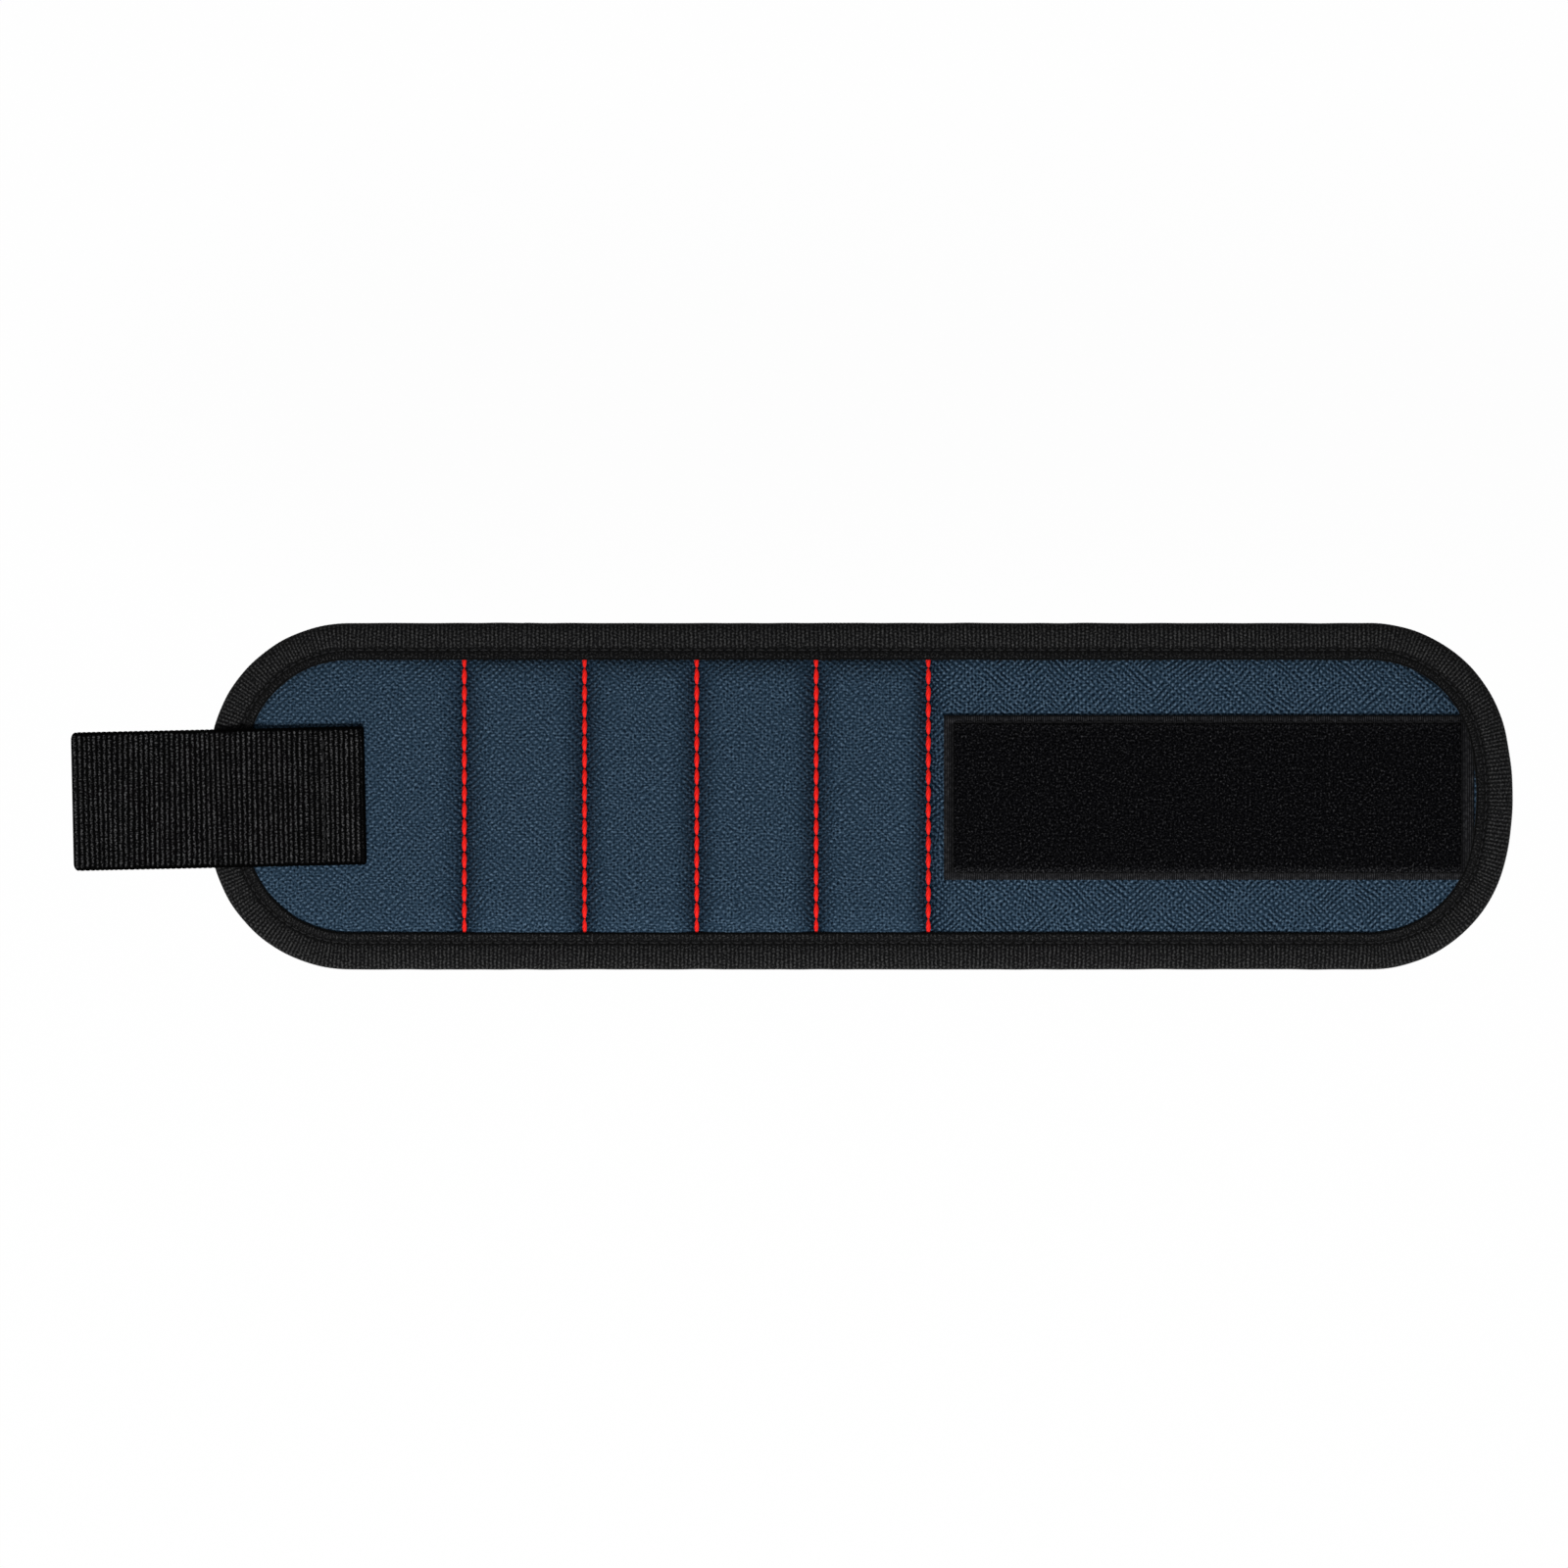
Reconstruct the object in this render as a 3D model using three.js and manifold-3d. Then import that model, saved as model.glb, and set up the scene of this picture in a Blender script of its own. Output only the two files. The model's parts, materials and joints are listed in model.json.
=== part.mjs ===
// Magnetic wristband: a padded band that lies flat, face up, with its wrist side on the table.
// Four quilted channels hold disc magnets, a folded tape binds the edge, a webbing strap with
// hook tape leaves the left end and a loop patch covers the right tail. X runs along the band,
// Y across it and Z out of the face. The origin is under the middle of the whole outline.
import * as THREE from 'three';
import { mergeVertices } from 'three/addons/utils/BufferGeometryUtils.js';
import Module from 'manifold-3d';

const wasm = await Module();
wasm.setup();

// Driving dimensions in millimetres: the band's outline
const BAND_LENGTH = 339.4;
const BAND_WIDTH = 90;
const END_RADIUS = 75;
const CORNER_RADIUS = 36.5;

// The quilted channels, from the left end
const FIRST_SEAM = 67.2;
const CHANNEL_WIDTHS = [31.2, 29.1, 31.0, 29.1];

// The layers
const FACE_THICKNESS = 0.9;
const LINING_THICKNESS = 3.6;
const SEAM_RISE = 0.7;
const SEAM_LINING = 2.4;
const SEAM_FLOOR = 1.1;
const SEAM_SHOULDER = 5;
const EDGE_LINING = 1.0;

// The magnets and the foam pads that keep them apart
const MAGNETS_PER_CHANNEL = 3;
const MAGNET_DIAMETER = 15;
const MAGNET_THICKNESS = 1.5;
const PAD_RIM = 2;
const PAD_CORNER = 3;

// The folded edge binding
const BINDING_WIDTH = 9.6;
const BINDING_TAPE = 0.7;
const BINDING_SPINE = 1.2;
const BINDING_LIFT = 0.3;
const BINDING_ROW = 2.6;
const BINDING_ROW_DEPTH = 0.25;

// The red thread of the quilting rows
const STITCH_PITCH = 4.3;
const STITCH_WIDTH = 1.7;
const STITCH_HEIGHT = 1.2;
const STITCH_NECK = 0.45;

// The loop patch on the tail
const LOOP_START = 4;
const LOOP_END_GAP = 1.8;
const LOOP_WIDTH = 42.7;
const LOOP_OFFSET = -0.35;
const LOOP_TAPE = 0.9;
const LOOP_PILE = 0.9;
const LOOP_SELVEDGE = 2.2;

// The webbing strap, sewn on slightly askew, and the hook tape under its free end
const STRAP_WIDTH = 36;
const STRAP_THICKNESS = 1.6;
const STRAP_SEWN = 41.6;
const STRAP_OVERHANG = 34.8;
const STRAP_CORNER = 1.5;
const STRAP_RIB_PITCH = 1.2;
const STRAP_RIB_DEPTH = 0.2;
const STRAP_SKEW = 1.24;
const STRAP_OFFSET = -0.7;
const STRAP_BEND_REACH = 1;
const STRAP_PEEL = 120;
const HOOK_THICKNESS = 1.4;
const HOOK_MARGIN = 1.2;
const HOOK_START = 3;

// The bends, in degrees: how far each line turns toward the wrist when the band is fastened
const BEND_HEIGHT = 1.6;
const SEAM_BENDS = [53.1, 31.2, 30, 30, 41.4];
const TAIL_BENDS = [55.8, 58.2];
const BACK_BEND_SHARE = 1 / 6;

// Clearances
const LAYER_GAP = 0.3;
const BEND_GAP = 0.35;
const STRAP_BEND_GAP = 0.45;

// How finely the round stretches are faceted
const CORNER_STEPS = 7;
const END_STEPS = 4;
const MAGNET_SIDES = 16;
const STITCH_SIDES = 6;
const FACE_STEPS = [0, 0.28, 0.6, 1];
const LINING_STEPS = [0, 0.4, 1];

// Places along the band
const halfWidth = BAND_WIDTH / 2;
const leftTip = (STRAP_OVERHANG - BAND_LENGTH) / 2;
const rightTip = leftTip + BAND_LENGTH;
const seams = [leftTip + FIRST_SEAM];
for (const width of CHANNEL_WIDTHS) seams.push(seams.at(-1) + width);
const lastSeam = seams.at(-1);
const bends = [...SEAM_BENDS, ...TAIL_BENDS];
const tailParts = TAIL_BENDS.length + 1;
const bendLines = [...seams];
for (let i = 1; i < tailParts; i++) {
  bendLines.push(lastSeam + (rightTip - lastSeam) * i / tailParts);
}

// Heights of the layers: over the magnets, on the plain ends, at a seam and inside the binding
const pocket = MAGNET_DIAMETER + 2 * LAYER_GAP;
const padThickness = MAGNET_THICKNESS + LAYER_GAP;
const padBottom = LINING_THICKNESS + LAYER_GAP;
const padTop = padBottom + padThickness;
const plainUnderside = LINING_THICKNESS + LAYER_GAP;
const plainTop = plainUnderside + FACE_THICKNESS;
const channelUnderside = padTop + LAYER_GAP;
const seamLiningTop = SEAM_RISE + SEAM_LINING;
const seamUnderside = seamLiningTop + LAYER_GAP;
const slotBottom = BINDING_LIFT + BINDING_TAPE;
const edgeLiningBottom = slotBottom + LAYER_GAP;
const edgeLiningTop = edgeLiningBottom + EDGE_LINING;
const edgeUnderside = edgeLiningTop + LAYER_GAP;
const slotTop = edgeUnderside + FACE_THICKNESS + LAYER_GAP;
const bindingTop = slotTop + BINDING_TAPE;

// Distances in from the outline: where the layers end and leave the binding, and how far they
// climb from there to the full height over the pads
const panelInset = BINDING_SPINE + BINDING_TAPE + LAYER_GAP;
const lipInset = BINDING_WIDTH + LAYER_GAP;
const padWidth = pocket + 2 * PAD_RIM;
const padPitch = pocket + PAD_RIM;
const padLength = MAGNETS_PER_CHANNEL * padPitch + PAD_RIM;
const edgeShoulder = halfWidth - lipInset - padLength / 2;

// Colours, roughness and metalness of each material
const FINISHES = {
  cloth: { color: 0x2b3b4a, roughness: 0.9, metalness: 0 },
  lining: { color: 0x1d1e20, roughness: 0.95, metalness: 0 },
  tape: { color: 0x1e1e1f, roughness: 0.85, metalness: 0 },
  webbing: { color: 0x1a1a1b, roughness: 0.85, metalness: 0 },
  loop: { color: 0x0d0d0f, roughness: 1, metalness: 0 },
  hook: { color: 0x121214, roughness: 0.6, metalness: 0 },
  thread: { color: 0xda201e, roughness: 0.55, metalness: 0 },
  foam: { color: 0x3a3a3c, roughness: 1, metalness: 0 },
  magnet: { color: 0xb8babd, roughness: 0.25, metalness: 1 },
};

const model = new THREE.Group();

function addMesh(name, geometry, finish, parent = model) {
  geometry.computeVertexNormals();
  const mesh = new THREE.Mesh(geometry, new THREE.MeshStandardMaterial(FINISHES[finish]));
  mesh.name = name;
  parent.add(mesh);
  return mesh;
}

// Closed meshes from points and triangles, turned so that the faces point out

function closedGeometry(points, triangles) {
  let volume = 0;
  for (const [a, b, c] of triangles) {
    volume += points[a].dot(new THREE.Vector3().crossVectors(points[b], points[c]));
  }
  const outward = volume > 0 ? triangles : triangles.map(([a, b, c]) => [a, c, b]);
  const geometry = new THREE.BufferGeometry().setFromPoints(points);
  geometry.setIndex(outward.flat());
  return geometry;
}

function loft(sections, isRing) {
  const size = sections[0].length;
  const triangles = [];
  const spans = isRing ? sections.length : sections.length - 1;
  for (let s = 0; s < spans; s++) {
    const here = s * size;
    const there = ((s + 1) % sections.length) * size;
    for (let k = 0; k < size; k++) {
      const next = (k + 1) % size;
      triangles.push([here + k, there + k, there + next], [here + k, there + next, here + next]);
    }
  }
  if (!isRing) {
    const last = (sections.length - 1) * size;
    for (let k = 1; k < size - 1; k++) {
      triangles.push([0, k, k + 1], [last, last + k + 1, last + k]);
    }
  }
  return closedGeometry(sections.flat(), triangles);
}

// A prism that stands on the XY plane, and one whose section lies in the XZ plane

function uprightPrism(shape, bottom, top, curveSegments = CORNER_STEPS) {
  const settings = { depth: top - bottom, bevelEnabled: false, curveSegments };
  return new THREE.ExtrudeGeometry(shape, settings).translate(0, 0, bottom);
}

function sidePrism(points, low, high) {
  const shape = new THREE.Shape(points.map(([x, z]) => new THREE.Vector2(x, z)));
  const settings = { depth: high - low, bevelEnabled: false };
  return new THREE.ExtrudeGeometry(shape, settings).rotateX(Math.PI / 2).translate(0, high, 0);
}

function rectangle(left, right, low, high) {
  return new THREE.Shape([
    new THREE.Vector2(left, low),
    new THREE.Vector2(right, low),
    new THREE.Vector2(right, high),
    new THREE.Vector2(left, high),
  ]);
}

// Joins and cuts

function toSolid(geometry) {
  const bare = geometry.clone();
  bare.deleteAttribute('normal');
  bare.deleteAttribute('uv');
  const merged = mergeVertices(bare, 1e-5);
  return new wasm.Manifold(new wasm.Mesh({
    numProp: 3,
    vertProperties: new Float32Array(merged.attributes.position.array),
    triVerts: new Uint32Array(merged.index.array),
  }));
}

function toGeometry(solid) {
  const mesh = solid.getMesh();
  const geometry = new THREE.BufferGeometry();
  geometry.setAttribute('position', new THREE.BufferAttribute(mesh.vertProperties, 3));
  geometry.setIndex(new THREE.BufferAttribute(mesh.triVerts, 1));
  return geometry;
}

// The outline as stations: a point on the edge and the direction into the band

const cornerRadius = Math.min(CORNER_RADIUS, 0.95 * halfWidth);
const cornerRise = halfWidth - cornerRadius;
const cornerReach = Math.sqrt((END_RADIUS - cornerRadius) ** 2 - cornerRise ** 2);
const cornerDepth = END_RADIUS - cornerReach;
const endAngle = Math.asin(cornerRise / (END_RADIUS - cornerRadius));
const straightStart = leftTip + cornerDepth;
const straightEnd = rightTip - cornerDepth;

function arcStations(cx, cy, radius, from, to, steps) {
  const stations = [];
  for (let i = 1; i <= steps; i++) {
    const angle = from + (to - from) * i / steps;
    const inward = new THREE.Vector2(-Math.cos(angle), -Math.sin(angle));
    stations.push({ x: cx - radius * inward.x, y: cy - radius * inward.y, inward });
  }
  return stations;
}

function endStations(side) {
  const tip = side > 0 ? rightTip : leftTip;
  const cornerX = tip - side * cornerDepth;
  const endX = tip - side * END_RADIUS;
  const top = Math.PI / 2;
  const turn = side > 0 ? 0 : Math.PI;
  const first = arcStations(cornerX, side * cornerRise, cornerRadius, top + turn,
    turn + endAngle, CORNER_STEPS);
  const middle = arcStations(endX, 0, END_RADIUS, turn + endAngle, turn - endAngle, END_STEPS);
  const last = arcStations(cornerX, -side * cornerRise, cornerRadius, turn - endAngle,
    turn - top, CORNER_STEPS);
  return [...first, ...middle, ...last.slice(0, -1)];
}

function outlineStations(columns) {
  const down = new THREE.Vector2(0, -1);
  const up = new THREE.Vector2(0, 1);
  const upper = columns.map((x) => ({ x, y: halfWidth, inward: down }));
  const lower = [...columns].reverse().map((x) => ({ x, y: -halfWidth, inward: up }));
  return [...upper, ...endStations(1), ...lower, ...endStations(-1)];
}

function inset(station, distance) {
  return {
    x: station.x + station.inward.x * distance,
    y: station.y + station.inward.y * distance,
  };
}

function insetShape(distance) {
  const stations = outlineStations([straightStart, straightEnd]);
  const points = stations.map((station) => {
    const { x, y } = inset(station, distance);
    return new THREE.Vector2(x, y);
  });
  return new THREE.Shape(points.reverse());
}

// The quilted relief: 0 at a seam and 1 on the crown, flat over the magnet pads

function channelAt(x) {
  for (let i = 0; i < CHANNEL_WIDTHS.length; i++) {
    if (x > seams[i] && x < seams[i + 1]) return i;
  }
  return -1;
}

function shoulderAt(x) {
  const channel = channelAt(x);
  return channel < 0 ? SEAM_SHOULDER : (CHANNEL_WIDTHS[channel] - padWidth) / 2;
}

function easeToCrown(t) {
  const share = Math.min(Math.max(t, 0), 1);
  return 1 - (1 - share) ** 2.2;
}

function seamRelief(x) {
  const distance = Math.min(...seams.map((seam) => Math.abs(x - seam)));
  return easeToCrown((distance - SEAM_FLOOR) / (shoulderAt(x) - SEAM_FLOOR));
}

function edgeRelief(distance) {
  return easeToCrown((distance - lipInset) / edgeShoulder);
}

function layerHeight(x, distance, atEdge, atSeam, onCrown) {
  const middle = atSeam + (onCrown - atSeam) * seamRelief(x);
  return atEdge + (middle - atEdge) * edgeRelief(distance);
}

function liningBottom(x, distance) {
  return layerHeight(x, distance, edgeLiningBottom, SEAM_RISE, 0);
}

function liningTop(x, distance) {
  return layerHeight(x, distance, edgeLiningTop, seamLiningTop, LINING_THICKNESS);
}

function faceUnderside(x, distance) {
  const crown = channelAt(x) < 0 ? plainUnderside : channelUnderside;
  return layerHeight(x, distance, edgeUnderside, seamUnderside, crown);
}

function faceTop(x, distance) {
  return faceUnderside(x, distance) + FACE_THICKNESS;
}

function reliefColumns(steps) {
  const columns = [straightStart, straightEnd];
  for (const seam of seams) {
    for (const side of [-1, 1]) {
      const shoulder = shoulderAt(seam + side * SEAM_FLOOR);
      for (const step of steps) {
        columns.push(seam + side * (SEAM_FLOOR + (shoulder - SEAM_FLOOR) * step));
      }
    }
  }
  return columns.sort((a, b) => a - b);
}

// A cloth layer over the whole band: rings climb from the binding to the crown, columns fill it

function layerGeometry(bottomAt, topAt, steps) {
  const columns = reliefColumns(steps);
  const stations = outlineStations(columns);
  const insets = [panelInset, ...steps.map((step) => lipInset + edgeShoulder * step)];
  const count = stations.length;
  const inner = (insets.length - 1) * count;
  const points = [];
  for (const heightAt of [topAt, bottomAt]) {
    for (const distance of insets) {
      for (const station of stations) {
        const { x, y } = inset(station, distance);
        points.push(new THREE.Vector3(x, y, heightAt(x, distance)));
      }
    }
  }
  const skin = [];
  for (let r = 0; r < insets.length - 1; r++) {
    for (let s = 0; s < count; s++) {
      const next = (s + 1) % count;
      const [a, b] = [r * count + s, r * count + next];
      skin.push([a, a + count, b + count], [a, b + count, b]);
    }
  }
  const lowerStart = columns.length + endStations(1).length;
  for (let i = 0; i < columns.length - 1; i++) {
    const [a, b] = [inner + i, inner + i + 1];
    const c = inner + lowerStart + columns.length - 2 - i;
    skin.push([a, c + 1, c], [a, c, b]);
  }
  for (const start of [columns.length - 1, lowerStart + columns.length - 1]) {
    const steps = endStations(1).length;
    for (let k = 1; k <= steps; k++) {
      const a = inner + start;
      skin.push([a, inner + (start + k + 1) % count, inner + start + k]);
    }
  }
  const under = insets.length * count;
  const triangles = [...skin, ...skin.map(([a, b, c]) => [a + under, c + under, b + under])];
  for (let s = 0; s < count; s++) {
    const next = (s + 1) % count;
    triangles.push([s, next, next + under], [s, next + under, s + under]);
  }
  return closedGeometry(points, triangles);
}

// The binding: one tape folded round the edge, flattened by its own stitch row on both sides

function bindingSection() {
  const middle = (BINDING_LIFT + bindingTop) / 2;
  const rise = bindingTop - middle;
  const row = BINDING_WIDTH - BINDING_ROW;
  const upper = [
    [BINDING_WIDTH, rise - BINDING_ROW_DEPTH / 2],
    [row, rise - BINDING_ROW_DEPTH],
    [row - BINDING_ROW / 2, rise],
    [rise, rise],
    [rise * 0.35, rise * 0.72],
  ];
  const lower = upper.map(([distance, z]) => [distance, -z]).reverse();
  const outside = [...upper, [0, 0], ...lower];
  const inside = [
    [BINDING_WIDTH, slotBottom - middle],
    [BINDING_SPINE + BINDING_TAPE, slotBottom - middle],
    [BINDING_SPINE, 0],
    [BINDING_SPINE + BINDING_TAPE, slotTop - middle],
    [BINDING_WIDTH, slotTop - middle],
  ];
  return [...outside, ...inside].map(([distance, z]) => [distance, middle + z]);
}

function bindingGeometry() {
  const section = bindingSection();
  const sections = outlineStations([straightStart, straightEnd]).map((station) => (
    section.map(([distance, z]) => {
      const { x, y } = inset(station, distance);
      return new THREE.Vector3(x, y, z);
    })
  ));
  return loft(sections, true);
}

// The room of each segment: its sides lean back from the bend lines, so that neighbours can turn

const roomTop = 2 * (plainTop + LOOP_TAPE + LOOP_PILE);
const roomBottom = -bindingTop;
const roomReach = BAND_LENGTH;
const segmentNames = ['left_end'];
CHANNEL_WIDTHS.forEach((width, i) => segmentNames.push(`channel_${i + 1}`));
for (let i = 1; i <= tailParts; i++) segmentNames.push(`tail_${i}`);

function bendSide(index, side) {
  if (index < 0 || index >= bendLines.length) {
    const far = side * roomReach;
    return [[-far, roomBottom], [-far, roomTop]];
  }
  const inward = THREE.MathUtils.degToRad(bends[index] / 2);
  const backward = inward * BACK_BEND_SHARE;
  const line = bendLines[index];
  return [
    [line + side * (BEND_GAP + (BEND_HEIGHT - roomBottom) * Math.tan(inward)), roomBottom],
    [line + side * BEND_GAP, BEND_HEIGHT],
    [line + side * (BEND_GAP + (roomTop - BEND_HEIGHT) * Math.tan(backward)), roomTop],
  ];
}

function segmentRoom(index, low = -BAND_WIDTH, high = BAND_WIDTH) {
  const left = bendSide(index - 1, 1);
  const right = bendSide(index, -1);
  return toSolid(sidePrism([...left.reverse(), ...right], low, high));
}

// Face, lining and binding of every segment

function buildBand() {
  const face = toSolid(layerGeometry(faceUnderside, faceTop, FACE_STEPS));
  const lining = toSolid(layerGeometry(liningBottom, liningTop, LINING_STEPS));
  const binding = toSolid(bindingGeometry());
  segmentNames.forEach((segment, index) => {
    const room = segmentRoom(index);
    addMesh(`face_${segment}`, toGeometry(face.intersect(room)), 'cloth');
    addMesh(`lining_${segment}`, toGeometry(lining.intersect(room)), 'lining');
    if (index === 0 || index === segmentNames.length - 1) {
      addMesh(`binding_${segment}`, toGeometry(binding.intersect(room)), 'tape');
      return;
    }
    const upper = binding.intersect(segmentRoom(index, 0, BAND_WIDTH));
    const lower = binding.intersect(segmentRoom(index, -BAND_WIDTH, 0));
    addMesh(`binding_upper_${segment}`, toGeometry(upper), 'tape');
    addMesh(`binding_lower_${segment}`, toGeometry(lower), 'tape');
  });
}

// A foam pad in each channel, with a pocket for every magnet

function buildMagnets() {
  const places = [];
  for (let i = 0; i < MAGNETS_PER_CHANNEL; i++) {
    places.push((i - (MAGNETS_PER_CHANNEL - 1) / 2) * padPitch);
  }
  CHANNEL_WIDTHS.forEach((width, channel) => {
    const middle = seams[channel] + width / 2;
    const [x, y] = [padWidth / 2, padLength / 2];
    const shape = new THREE.Shape();
    shape.moveTo(PAD_CORNER - x, -y).lineTo(x - PAD_CORNER, -y).lineTo(x, PAD_CORNER - y);
    shape.lineTo(x, y - PAD_CORNER).lineTo(x - PAD_CORNER, y).lineTo(PAD_CORNER - x, y);
    shape.lineTo(-x, y - PAD_CORNER).lineTo(-x, PAD_CORNER - y).closePath();
    for (const place of places) {
      shape.holes.push(new THREE.Path().absarc(0, place, pocket / 2, 0, 2 * Math.PI, true));
    }
    const pad = addMesh(`magnet_pad_${channel + 1}`,
      uprightPrism(shape, padBottom, padTop, MAGNET_SIDES), 'foam');
    pad.position.x = middle;
    places.forEach((place, i) => {
      const disc = new THREE.CylinderGeometry(MAGNET_DIAMETER / 2, MAGNET_DIAMETER / 2,
        MAGNET_THICKNESS, MAGNET_SIDES);
      const magnet = addMesh(`magnet_${channel + 1}_${i + 1}`, disc.rotateX(Math.PI / 2), 'magnet');
      magnet.position.set(middle, place, (padBottom + padTop) / 2);
    });
  });
}

// A row of bold red stitches in each seam: beads of thread, pinched where the needle went through

function buildStitchRows() {
  const reach = halfWidth - lipInset - LAYER_GAP;
  const stitches = Math.floor(2 * reach / STITCH_PITCH);
  const shares = [[0, STITCH_NECK], [0.3, 1], [0.7, 1]];
  const start = -stitches * STITCH_PITCH / 2;
  seams.forEach((seam, row) => {
    const sections = [];
    const addSection = (y, share) => {
      const floor = faceTop(seam, halfWidth - Math.abs(y)) + LAYER_GAP;
      const section = [];
      for (let k = 0; k < STITCH_SIDES; k++) {
        const angle = 2 * Math.PI * k / STITCH_SIDES;
        const x = seam + Math.cos(angle) * share * STITCH_WIDTH / 2;
        const z = floor + STITCH_HEIGHT / 2 * (1 + Math.sin(angle) * share);
        section.push(new THREE.Vector3(x, y, z));
      }
      sections.push(section);
    };
    for (let i = 0; i < stitches; i++) {
      for (const [along, share] of shares) addSection(start + (i + along) * STITCH_PITCH, share);
    }
    addSection(-start, STITCH_NECK);
    addMesh(`stitch_row_${row + 1}`, loft(sections, false), 'thread');
  });
}

// The loop patch: woven selvedge round a raised pile, its corners tucked under the binding's curve

function buildLoopPatch() {
  const left = lastSeam + LOOP_START;
  const right = rightTip - BINDING_WIDTH - LOOP_END_GAP;
  const low = LOOP_OFFSET - LOOP_WIDTH / 2;
  const high = LOOP_OFFSET + LOOP_WIDTH / 2;
  const bottom = plainTop + LAYER_GAP;
  const top = bottom + LOOP_TAPE + LOOP_PILE;
  const tape = toSolid(uprightPrism(rectangle(left, right, low, high), bottom, bottom + LOOP_TAPE));
  const pileShape = rectangle(left + LOOP_SELVEDGE, right - LOOP_SELVEDGE,
    low + LOOP_SELVEDGE, high - LOOP_SELVEDGE);
  const pile = toSolid(uprightPrism(pileShape, bottom + LOOP_TAPE / 2, top));
  const clearing = toSolid(uprightPrism(insetShape(lipInset), bottom - LAYER_GAP, top + LAYER_GAP));
  const patch = tape.add(pile).intersect(clearing);
  const firstTail = segmentNames.length - tailParts;
  for (let i = 0; i < tailParts; i++) {
    const piece = patch.intersect(segmentRoom(firstTail + i));
    addMesh(`loop_patch_${i + 1}`, toGeometry(piece), 'loop');
  }
}

// The strap: its sewn end on the band, its free tab past the tip and the hook tape under the tab

function strapSide(side, farEnd) {
  const half = STRAP_THICKNESS / 2;
  const peel = THREE.MathUtils.degToRad(90 - STRAP_PEEL / 2);
  const reach = Math.max(STRAP_BEND_GAP, half / Math.tan(peel));
  const bendEnd = [[side * STRAP_BEND_GAP, -half], [side * STRAP_BEND_GAP, 0]];
  return [...bendEnd, ...ribbedTop(side * reach, farEnd), [farEnd, -half]];
}

function ribbedTop(from, to) {
  const half = STRAP_THICKNESS / 2;
  const ribs = Math.round(Math.abs(to - from) / STRAP_RIB_PITCH);
  const points = [];
  for (let i = 0; i < ribs; i++) {
    const step = (to - from) / ribs;
    points.push([from + i * step, half - STRAP_RIB_DEPTH], [from + (i + 0.5) * step, half]);
  }
  return [...points, [to, half - STRAP_RIB_DEPTH]];
}

function buildStrap() {
  const half = STRAP_THICKNESS / 2;
  const strap = new THREE.Group();
  const hinge = leftTip - STRAP_BEND_REACH;
  strap.position.set(hinge, STRAP_OFFSET, plainTop + LAYER_GAP + half);
  strap.rotation.z = THREE.MathUtils.degToRad(STRAP_SKEW);
  model.add(strap);

  const right = STRAP_SEWN + STRAP_BEND_REACH;
  const cornerLead = STRAP_WIDTH / 2 * Math.sin(strap.rotation.z);
  const left = (STRAP_BEND_REACH - STRAP_OVERHANG + cornerLead) / Math.cos(strap.rotation.z);
  const [low, high] = [-STRAP_WIDTH / 2, STRAP_WIDTH / 2];
  addMesh('strap_sewn_end', sidePrism(strapSide(1, right), low, high), 'webbing', strap);

  const plan = new THREE.Shape();
  plan.moveTo(STRAP_BEND_GAP, low).lineTo(STRAP_BEND_GAP, high).lineTo(left + STRAP_CORNER, high);
  plan.absarc(left + STRAP_CORNER, high - STRAP_CORNER, STRAP_CORNER, Math.PI / 2, Math.PI);
  plan.absarc(left + STRAP_CORNER, low + STRAP_CORNER, STRAP_CORNER, Math.PI, 1.5 * Math.PI);
  const tab = toSolid(sidePrism(strapSide(-1, left), low, high))
    .intersect(toSolid(uprightPrism(plan, -STRAP_THICKNESS, STRAP_THICKNESS)));
  addMesh('strap_tab', toGeometry(tab), 'webbing', strap);

  const hookTop = -half - LAYER_GAP;
  const hook = rectangle(left + HOOK_MARGIN, -HOOK_START, low + HOOK_MARGIN, high - HOOK_MARGIN);
  addMesh('hook_patch', uprightPrism(hook, hookTop - HOOK_THICKNESS, hookTop), 'hook', strap);
}

buildBand();
buildMagnets();
buildStitchRows();
buildLoopPatch();
buildStrap();

export default model;
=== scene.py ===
"""The looks of a padded magnetic wristband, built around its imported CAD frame.

The band lies flat with its face up. X runs along it, Y across it and Z out of the face.
Lengths are in millimetres here and become metres where a mesh is made.
"""

import json
import math
from functools import partialmethod

import bpy
import numpy as np
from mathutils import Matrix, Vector


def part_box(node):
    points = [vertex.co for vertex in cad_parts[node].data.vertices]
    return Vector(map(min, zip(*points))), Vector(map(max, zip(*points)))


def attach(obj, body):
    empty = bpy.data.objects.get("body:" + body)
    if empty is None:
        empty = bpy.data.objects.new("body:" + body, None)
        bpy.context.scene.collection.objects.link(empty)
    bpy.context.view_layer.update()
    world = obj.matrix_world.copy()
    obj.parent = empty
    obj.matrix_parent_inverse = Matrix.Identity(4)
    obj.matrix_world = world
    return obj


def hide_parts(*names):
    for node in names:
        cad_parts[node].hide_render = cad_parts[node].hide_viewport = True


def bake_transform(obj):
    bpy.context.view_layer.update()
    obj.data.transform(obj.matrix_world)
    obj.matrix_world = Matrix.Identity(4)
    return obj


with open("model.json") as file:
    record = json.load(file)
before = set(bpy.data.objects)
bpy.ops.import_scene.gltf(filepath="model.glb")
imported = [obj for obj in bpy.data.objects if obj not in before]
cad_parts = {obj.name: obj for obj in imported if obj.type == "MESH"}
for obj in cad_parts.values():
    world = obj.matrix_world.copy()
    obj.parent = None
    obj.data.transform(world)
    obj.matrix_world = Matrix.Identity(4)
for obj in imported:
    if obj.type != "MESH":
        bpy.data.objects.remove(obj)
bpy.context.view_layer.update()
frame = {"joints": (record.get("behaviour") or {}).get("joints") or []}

MM = 1000.0
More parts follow.
